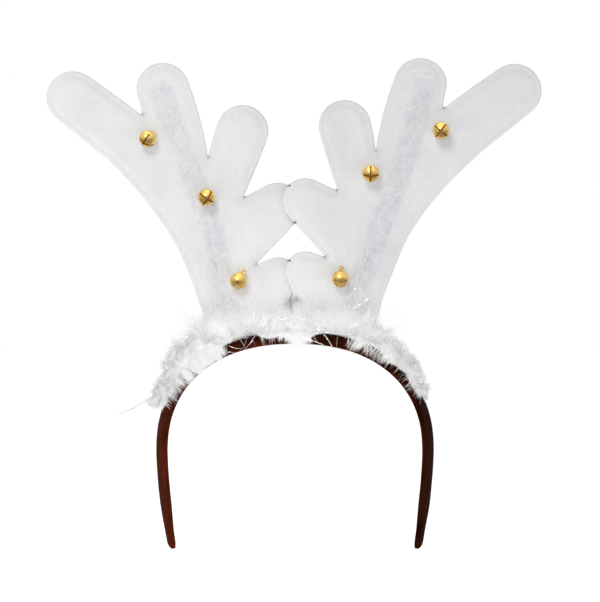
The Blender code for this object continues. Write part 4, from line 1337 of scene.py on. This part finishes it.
        # hanging tufts run out over the front edge and down
        hang = free & (theta[i] < math.radians(24))
        aim = np.minimum(np.interp(s, low_rows[:, 0], low_rows[:, 1]), -2.6) + rng.uniform(-0.4, 3.2, g)
        tip = np.stack([c[:, 3, 0] + rng.normal(0, 1.5, g)[i] + rng.normal(0, 0.7, m), -12.2 - rng.uniform(0.2, 3.2, g)[i] - rng.uniform(0, 1.2, m),
                        aim[i] + rng.normal(0, 1.1, m)], 1)
        elbow = np.stack([c[:, 1, 0], -12.4 - rng.uniform(0, 2.6, m), mix(root[:, 2], tip[:, 2], 0.30)], 1)
        fall = (1 - t) ** 2 * root[:, None] + 2 * t * (1 - t) * elbow[:, None] + t * t * tip[:, None]
        fall[:, 1:3] += rng.normal(0, 0.12, (m, 2, 3))
        c[hang] = fall[hang]
        cs, cy, cn = c[..., 0], c[..., 1], c[..., 2]
        soft = np.abs(rng.normal(0, 0.7, m)) + 1.5 * (wave[i] + 0.1)
        bare = np.interp(cs, low_rows[:, 0], low_rows[:, 1])
        front = cy < lifted(bare, -4.5, 2.5)
        # a tuft that would pass below ends there, at its own height
        under = np.where(front, level + soft[:, None] - cn, -1.0).max(1)
        worst = np.where(front, cn, 99.0).min(1)
        goal = worst + np.maximum(under, 0.0) + rng.uniform(-0.8, 1.8, m)
        top = np.maximum(root[:, 2], goal + 0.8)
        squeeze = np.where((under > 0) & ~free, (top - goal) / np.maximum(root[:, 2] - worst, 0.5), 1.0)
        squeeze = np.clip(squeeze, 0.0, 1.0)
        moved = top[:, None] + (cn - root[:, 2][:, None]) * squeeze[:, None]
        cn = np.where(((under > 0) & ~free)[:, None], moved, cn)
        reach = -4.7 - 0.5 * rng.uniform(0, 1, m)
        cn = np.maximum(cn, reach[:, None])
    floor = FLOOR - 0.12 + LEAN * cy
    hangs = free[:, None] & (cy < -7.5) & (cn < floor)
    cy = np.where(hangs & (cy > -11.5), -11.5 - 0.7 * rng.uniform(0, 1, cy.shape), cy)
    on_band = (cy > -11.2) & (cy < 10.6)
    cn = np.where(on_band & (cn < floor), floor + 0.02, cn)
    p = to_world(cs, cy, cn)
    if back:
        p[..., 1] = np.where((p[..., 1] < 2.8) & (np.abs(p[..., 0]) < 57),
                             2.85 + 0.4 * rng.uniform(0, 1, p[..., 1].shape), p[..., 1])
        over = (p[..., 2] > 20) & (np.abs(p[..., 0]) < 40)
        p[..., 1] = np.where(over & (p[..., 1] < 6.8), 6.8 + 0.5 * rng.uniform(0, 1, p[..., 1].shape), p[..., 1])
    else:
        up = p[..., 2]
        wall = -2.75 - 3.6 * smooth((CROSS_OUT - np.abs(p[..., 0])) / 25.0) * smooth((up - CROSS_UP) / 20.0)
        felt_zone = np.abs(p[..., 0]) < np.interp(up, [0, 30], [49.5, 60.0])
        p[..., 1] = np.where(felt_zone & (p[..., 1] > wall), wall - 0.05 - 0.5 * rng.uniform(0, 1, up.shape), p[..., 1])
    deep = 15.86 + 5.5
    over = np.maximum(np.abs(p[..., 1]) - deep, 0.0)
    p[..., 1] -= np.sign(p[..., 1]) * (over - 3.4 * over / (over + 6.0))
    # ribbons, turned so that their faces look away from the cord
    d = np.gradient(p, axis=1)
    d /= np.linalg.norm(d, axis=2)[..., None] + 1e-9
    heart = to_world(cs, np.broadcast_to(yc[i][:, None], cs.shape), np.broadcast_to((nc - 0.35 * b)[i][:, None], cs.shape))
    away = p - heart
    away /= np.linalg.norm(away, axis=2)[..., None] + 1e-9
    flat = rng.normal(0, 1, (m, 1, 3))
    side = flat - d * (flat * d).sum(2)[..., None]
    side /= np.linalg.norm(side, axis=2)[..., None] + 1e-9
    facing = np.cross(side, d)
    sign = np.where((facing[:, 1:3] * away[:, 1:3]).sum((1, 2)) < 0, -1.0, 1.0)[:, None, None]
    side, facing = side * sign, facing * sign
    half = rng.uniform(0.058, 0.112, m)
    w = half[:, None] * np.array([0.9, 1.0, 0.8])[None, :]
    left = p[:, :3] - side[:, :3] * w[..., None]
    right = p[:, :3] + side[:, :3] * w[..., None]
    pts = np.concatenate([np.stack([left, right], 2).reshape(m, 6, 3), p[:, 3:4]], 1)
    pattern = np.array([[0, 1, 3], [0, 3, 2], [2, 3, 5], [2, 5, 4], [4, 5, 6]])
    normal = 0.50 * away + 0.50 * facing + rng.normal(0, 0.12, (m, 1, 3))
    normal /= np.linalg.norm(normal, axis=2)[..., None]
    nrm = np.concatenate([np.repeat(normal[:, :3], 2, axis=1), normal[:, 3:4]], 1)
    tone = np.where(rng.uniform(0, 1, m) < 0.62, rng.choice(len(STRAND_MATS), g, p=shares)[i],
                    rng.choice(len(STRAND_MATS), m, p=shares))
    if not back:  # the whitest down stands before the felt
        tone = np.where((cn[:, 3] > 14.0) & (np.abs(p[:, 3, 0]) < 60.0), 0, tone)
    dense = rng.uniform(0, 1, m) < casting
    for part, chosen in (("a", dense), ("b", ~dense)):
        count = int(chosen.sum())
        base = (np.arange(count) * 7)[:, None, None]
        faces = (base + pattern[None]).reshape(-1, 3)
        ob = new_object(f"{name}_{part}", pts[chosen].reshape(-1, 3), faces, STRAND_MATS,
                        slots=np.repeat(tone[chosen], len(pattern)))
        ob.data.normals_split_custom_set_from_vertices(nrm[chosen].reshape(-1, 3).astype(np.float32).tolist())
        ob.visible_shadow = ob.visible_diffuse = part == "a"
        place(ob, "fluff")
    return m


# =============================================================================
# Tinsel: long flat film strands; rows run (s or picture place) in mm
# =============================================================================
# x0, y0, z0 start, bend x, y, z, x1, y1, z1 end, width
TINSEL = (
    (-86.0, -9.0, -34.0, -97.0, -10.0, -41.5, -109.5, -11.0, -46.5, 0.34),
    (-83.0, -12.0, -33.0, -93.0, -11.0, -38.0, -101.5, -9.0, -43.5, 0.22),
    (-9.5, -16.0, 12.0, -5.0, -17.0, 13.0, -0.5, -14.5, 16.0, 0.75),
    (-25.0, -16.5, 6.5, -17.0, -19.0, 10.5, -4.0, -16.0, 16.5, 0.40),
    (5.0, -16.5, 12.5, 13.0, -19.0, 8.5, 21.0, -16.5, 6.0, 0.42),
    (12.0, -16.0, 10.0, 9.0, -18.5, 4.5, 14.0, -16.5, -1.5, 0.34),
    (47.5, -14.0, -1.0, 48.5, -17.0, -3.0, 46.5, -14.0, -8.0, 0.60),
    (-16.0, -15.0, 10.0, -11.0, -17.0, 12.5, -7.0, -16.0, 12.5, 0.40),
    (13.0, -15.5, 7.0, 20.0, -18.0, 3.5, 39.5, -16.0, 2.8, 0.50),
    (18.0, -15.5, 3.0, 21.0, -18.0, 0.0, 23.0, -16.5, -5.0, 0.45),
    (4.0, -15.5, 2.0, 10.0, -17.5, 0.0, 17.5, -16.0, -3.0, 0.45),
    (8.0, -14.5, 9.5, 12.0, -17.0, 10.5, 19.0, -15.5, 3.5, 0.35),
    (31.0, -14.0, 16.0, 38.0, -7.5, 20.0, 45.5, -4.6, 25.5, 0.75),
    (30.5, -12.0, 18.0, 33.0, -5.8, 24.0, 36.0, -5.0, 28.0, 0.40),
    (36.0, -5.0, 28.0, 38.5, -4.6, 35.0, 41.5, -4.4, 44.0, 0.32),
    (41.5, -4.4, 44.0, 43.5, -4.6, 49.0, 45.5, -4.4, 55.5, 0.30),
    (-24.5, -14.0, 2.5, -27.0, -17.0, -2.0, -31.5, -15.0, -6.5, 0.22),
    (-40.5, -14.5, -3.5, -36.0, -17.0, -6.0, -31.5, -15.5, -5.0, 0.20),
    (-44.0, -14.0, -7.0, -40.0, -17.0, -7.5, -35.5, -15.0, -8.0, 0.16),
    (-41.0, -13.0, -2.5, -34.0, -16.5, 1.0, -28.0, -15.0, 1.5, 0.16),
    (41.0, -14.5, -1.0, 44.0, -17.0, -4.0, 43.0, -14.0, -9.0, 0.45),
    (33.0, -14.5, 4.0, 33.5, -17.0, -1.5, 32.0, -14.0, -6.5, 0.35),
)


def make_tinsel():
    rng = np.random.default_rng(77)
    points, faces = [], []

    glint = np.array([-0.42, -0.82, 0.38])
    glint /= np.linalg.norm(glint)

    dusk = np.array([-0.20, -0.85, -0.49])

    def film(p0, p1, p2, width, n=14, aimed=False, towards=glint):
        path = bezier(p0, p1, p2, n)
        kink = rng.normal(0, 0.05 if aimed else 0.22, path.shape)
        kink[0] = 0
        path = path + kink
        d = np.gradient(path, axis=0)
        d /= np.linalg.norm(d, axis=1)[:, None] + 1e-9
        side = rng.normal(0, 1, 3)
        spin = rng.uniform(0.15, 0.6)
        base = len(points)
        for i in range(n):
            if aimed:
                side, spin = np.cross(towards, d[i]), 0.0
            s = side - d[i] * np.dot(side, d[i])
            s /= np.linalg.norm(s) + 1e-9
            up = np.cross(d[i], s)
            a = spin * i + (0.17 if aimed else 0.4) * rng.normal()
            s = math.cos(a) * s + math.sin(a) * up
            w = width / 2 * (1.0 if 0 < i < n - 1 else 0.5)
            points.append(tuple(path[i] - s * w))
            points.append(tuple(path[i] + s * w))
        for i in range(n - 1):
            k = base + 2 * i
            faces.append((k, k + 1, k + 3, k + 2))

    for row in TINSEL:
        film(np.array(row[0:3]), np.array(row[3:6]), np.array(row[6:9]), row[9], 18, True,
             glint if row[6] > -80.0 else dusk)
    # the rest are spread through the trim, all round it
    for k in range(150):
        back = k % 3 == 2
        rows = TRIM_BACK if back else TRIM_FRONT
        s = rng.uniform(rows[0][0] + 4, rows[-1][0] - 4)
        h, f, r = (float(v) for v in rows_at(rows, s))
        wide = abs(s) > 52
        if back:
            th = math.radians(rng.uniform(60, 190))
        else:
            th = math.radians(rng.uniform(-15, 200 if wide else 110))
        a, b = (r - f) / 2, h / 2
        rad = float(section_radius(np.array([th]), a, b)[0]) * rng.uniform(0.9, 1.22)
        yc = (f + r) / 2
        nc = FLOOR + LEAN * yc + b
        mid_y, mid_n = yc - math.cos(th) * rad, nc + math.sin(th) * rad
        run = rng.uniform(4, 13) * rng.choice([-1, 1])
        out = rng.uniform(0.0, 1.3)
        p0 = to_world(np.array([s - run / 2]), np.array([yc - math.cos(th) * rad * 0.75]), np.array([nc + math.sin(th) * rad * 0.75]))[0]
        p1 = to_world(np.array([s]), np.array([yc - math.cos(th) * rad * 1.1]), np.array([nc + math.sin(th) * rad * 1.1]))[0]
        lift = rng.uniform(0.7, 1.15)
        p2 = to_world(np.array([s + run / 2 + rng.normal(0, 2)]), np.array([yc - math.cos(th + rng.normal(0, 0.35)) * rad * lift]),
                      np.array([nc + math.sin(th + rng.normal(0, 0.35)) * rad * lift]))[0]
        for p in (p0, p1, p2):
            if not wide:
                if back:
                    p[1] = max(p[1], 3.1)
                else:
                    p[1] = min(p[1], -3.4)
        film(p0, p1, p2, rng.uniform(0.14, 0.34), 11, k % 4 == 0)
    ob = new_object("tinsel_strands", points, faces, [TINSEL_MAT], smooth_shade=False)
    place(ob, "tinsel")


# =============================================================================
# Build
# =============================================================================
make_headband()
rims = {}
for word, side, tines, beam, foot, rows in (
    ("left", -1, LEFT_TINES, LEFT_BEAM, LEFT_INNER_FOOT, LEFT_STRIP),
    ("right", 1, RIGHT_TINES, RIGHT_BEAM, RIGHT_INNER_FOOT, RIGHT_STRIP),
):
    rim, inward, crotches = make_antler(word, side, tines, beam, foot, rows)
    make_stitches(f"notch_stitches_{word}", side, rim, inward, crotches)
    rims[word] = (rim, inward)
    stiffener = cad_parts[f"antler_{word}_stiffener"]
    stiffener.data.materials.clear()
    stiffener.data.materials.append(STRIP_MAT)
make_joining_tacks(rims)
make_bells()
make_core("fluff_core_front", TRIM_FRONT, ("fur_trim_front",), 0.62)
make_core("fluff_core_back", TRIM_BACK, ("fur_trim_back",), 0.62)
SHARES = [0.36, 0.30, 0.22, 0.12]
total = 0
for name, rows, span, n_tufts, per, back, seed, casting in (
    ("fluff_left", TRIM_FRONT, (-200.0, -43.0), 205, 132, False, 101, 0.50),
    ("fluff_middle", TRIM_FRONT, (-43.0, 40.0), 325, 122, False, 102, 0.12),
    ("fluff_right", TRIM_FRONT, (40.0, 200.0), 185, 122, False, 103, 0.26),
    ("fluff_rear", TRIM_BACK, (-200.0, 200.0), 240, 86, True, 104, 0.35),
):
    made = strands(name, rows, span, n_tufts, per, back, seed, SHARES, casting)
    total += made
    print("strands", name, made)
make_tinsel()

# =============================================================================
# Camera, floor and light
# =============================================================================
camera_data = bpy.data.cameras.new("camera")
camera_data.lens = 144.7
camera_data.sensor_width = 36.0
camera_data.clip_start = 0.05
camera_data.clip_end = 50.0
camera = bpy.data.objects.new("camera", camera_data)
camera.location = (0.0031, -1.5, 0.0239)
camera.rotation_euler = (math.radians(90.0), 0.0, 0.0)
bpy.context.scene.collection.objects.link(camera)
bpy.context.scene.camera = camera


def make_floor():
    mesh = bpy.data.meshes.new("studio_floor")
    bm = bmesh.new()
    bmesh.ops.create_circle(bm, cap_ends=True, segments=96, radius=6.0)
    bm.to_mesh(mesh)
    bm.free()
    ob = bpy.data.objects.new("studio_floor", mesh)
    ob.location = (0.0, 0.0, -0.1305)
    mat = bpy.data.materials.new("pale_floor")
    mat.use_nodes = True
    nt = mat.node_tree
    shader = nt.nodes["Principled BSDF"]
    shader.inputs["Base Color"].default_value = (0.42, 0.42, 0.42, 1.0)
    shader.inputs["Roughness"].default_value = 0.8
    shader.inputs["Specular IOR Level"].default_value = 0.1
    shader.inputs["Emission Color"].default_value = (1.0, 1.0, 1.0, 1.0)
    shader.inputs["Emission Strength"].default_value = 0.93
    mesh.materials.append(mat)
    bpy.context.scene.collection.objects.link(ob)
    ob.visible_glossy = False


def area(name, at, look, size, power, colour=(1, 1, 1)):
    data = bpy.data.lights.new(name, "AREA")
    data.shape = "RECTANGLE"
    data.size, data.size_y = size
    data.energy = power
    data.color = colour
    ob = bpy.data.objects.new(name, data)
    ob.location = at
    ob.rotation_euler = (Vector(look) - Vector(at)).to_track_quat("-Z", "Y").to_euler()
    bpy.context.scene.collection.objects.link(ob)
    return ob


make_floor()
area("key", (-0.42, -1.40, 1.05), (0.0, 0.0, 0.03), (0.55, 0.55), 10.5)
front = area("front", (-0.30, -1.9, 0.0), (0.0, 0.0, 0.02), (0.9, 0.9), 9.0)
front.visible_glossy = False
area("top", (0.0, 0.25, 1.35), (0.0, 0.0, 0.0), (1.0, 1.0), 3.5)

world = bpy.data.worlds.new("studio")
world.use_nodes = True
bpy.context.scene.world = world
wt = world.node_tree
out = wt.nodes["World Output"]
soft = wt.nodes["Background"]
soft.inputs["Color"].default_value = (1.0, 1.0, 1.0, 1.0)
soft.inputs["Strength"].default_value = 0.22
seen = wt.nodes.new("ShaderNodeBackground")
seen.inputs["Color"].default_value = (1.0, 1.0, 1.0, 1.0)
seen.inputs["Strength"].default_value = 1.0
room = wt.nodes.new("ShaderNodeBackground")
room.inputs["Strength"].default_value = 1.0
where = wt.nodes.new("ShaderNodeTexCoord")
split = wt.nodes.new("ShaderNodeSeparateXYZ")
wt.links.new(where.outputs["Generated"], split.inputs[0])
ramp = wt.nodes.new("ShaderNodeValToRGB")
ramp.color_ramp.elements[0].position = 0.36
ramp.color_ramp.elements[0].color = (0.30, 0.30, 0.30, 1)
ramp.color_ramp.elements[1].position = 0.85
ramp.color_ramp.elements[1].color = (1.05, 1.05, 1.05, 1)
shift = wt.nodes.new("ShaderNodeMapRange")
shift.inputs["From Min"].default_value = -1.0
wt.links.new(split.outputs["Z"], shift.inputs["Value"])
wt.links.new(shift.outputs[0], ramp.inputs[0])
wt.links.new(ramp.outputs[0], room.inputs["Color"])
path = wt.nodes.new("ShaderNodeLightPath")
m1 = wt.nodes.new("ShaderNodeMixShader")
m2 = wt.nodes.new("ShaderNodeMixShader")
wt.links.new(path.outputs["Is Glossy Ray"], m1.inputs[0])
wt.links.new(soft.outputs[0], m1.inputs[1])
wt.links.new(room.outputs[0], m1.inputs[2])
wt.links.new(path.outputs["Is Camera Ray"], m2.inputs[0])
wt.links.new(m1.outputs[0], m2.inputs[1])
wt.links.new(seen.outputs[0], m2.inputs[2])
wt.links.new(m2.outputs[0], out.inputs["Surface"])

view = bpy.context.scene.view_settings
view.view_transform = "Standard"
view.look = "None"
view.exposure = 0.0
view.gamma = 1.0

# =============================================================================
# Final update of the scene
# =============================================================================
bpy.context.view_layer.update()
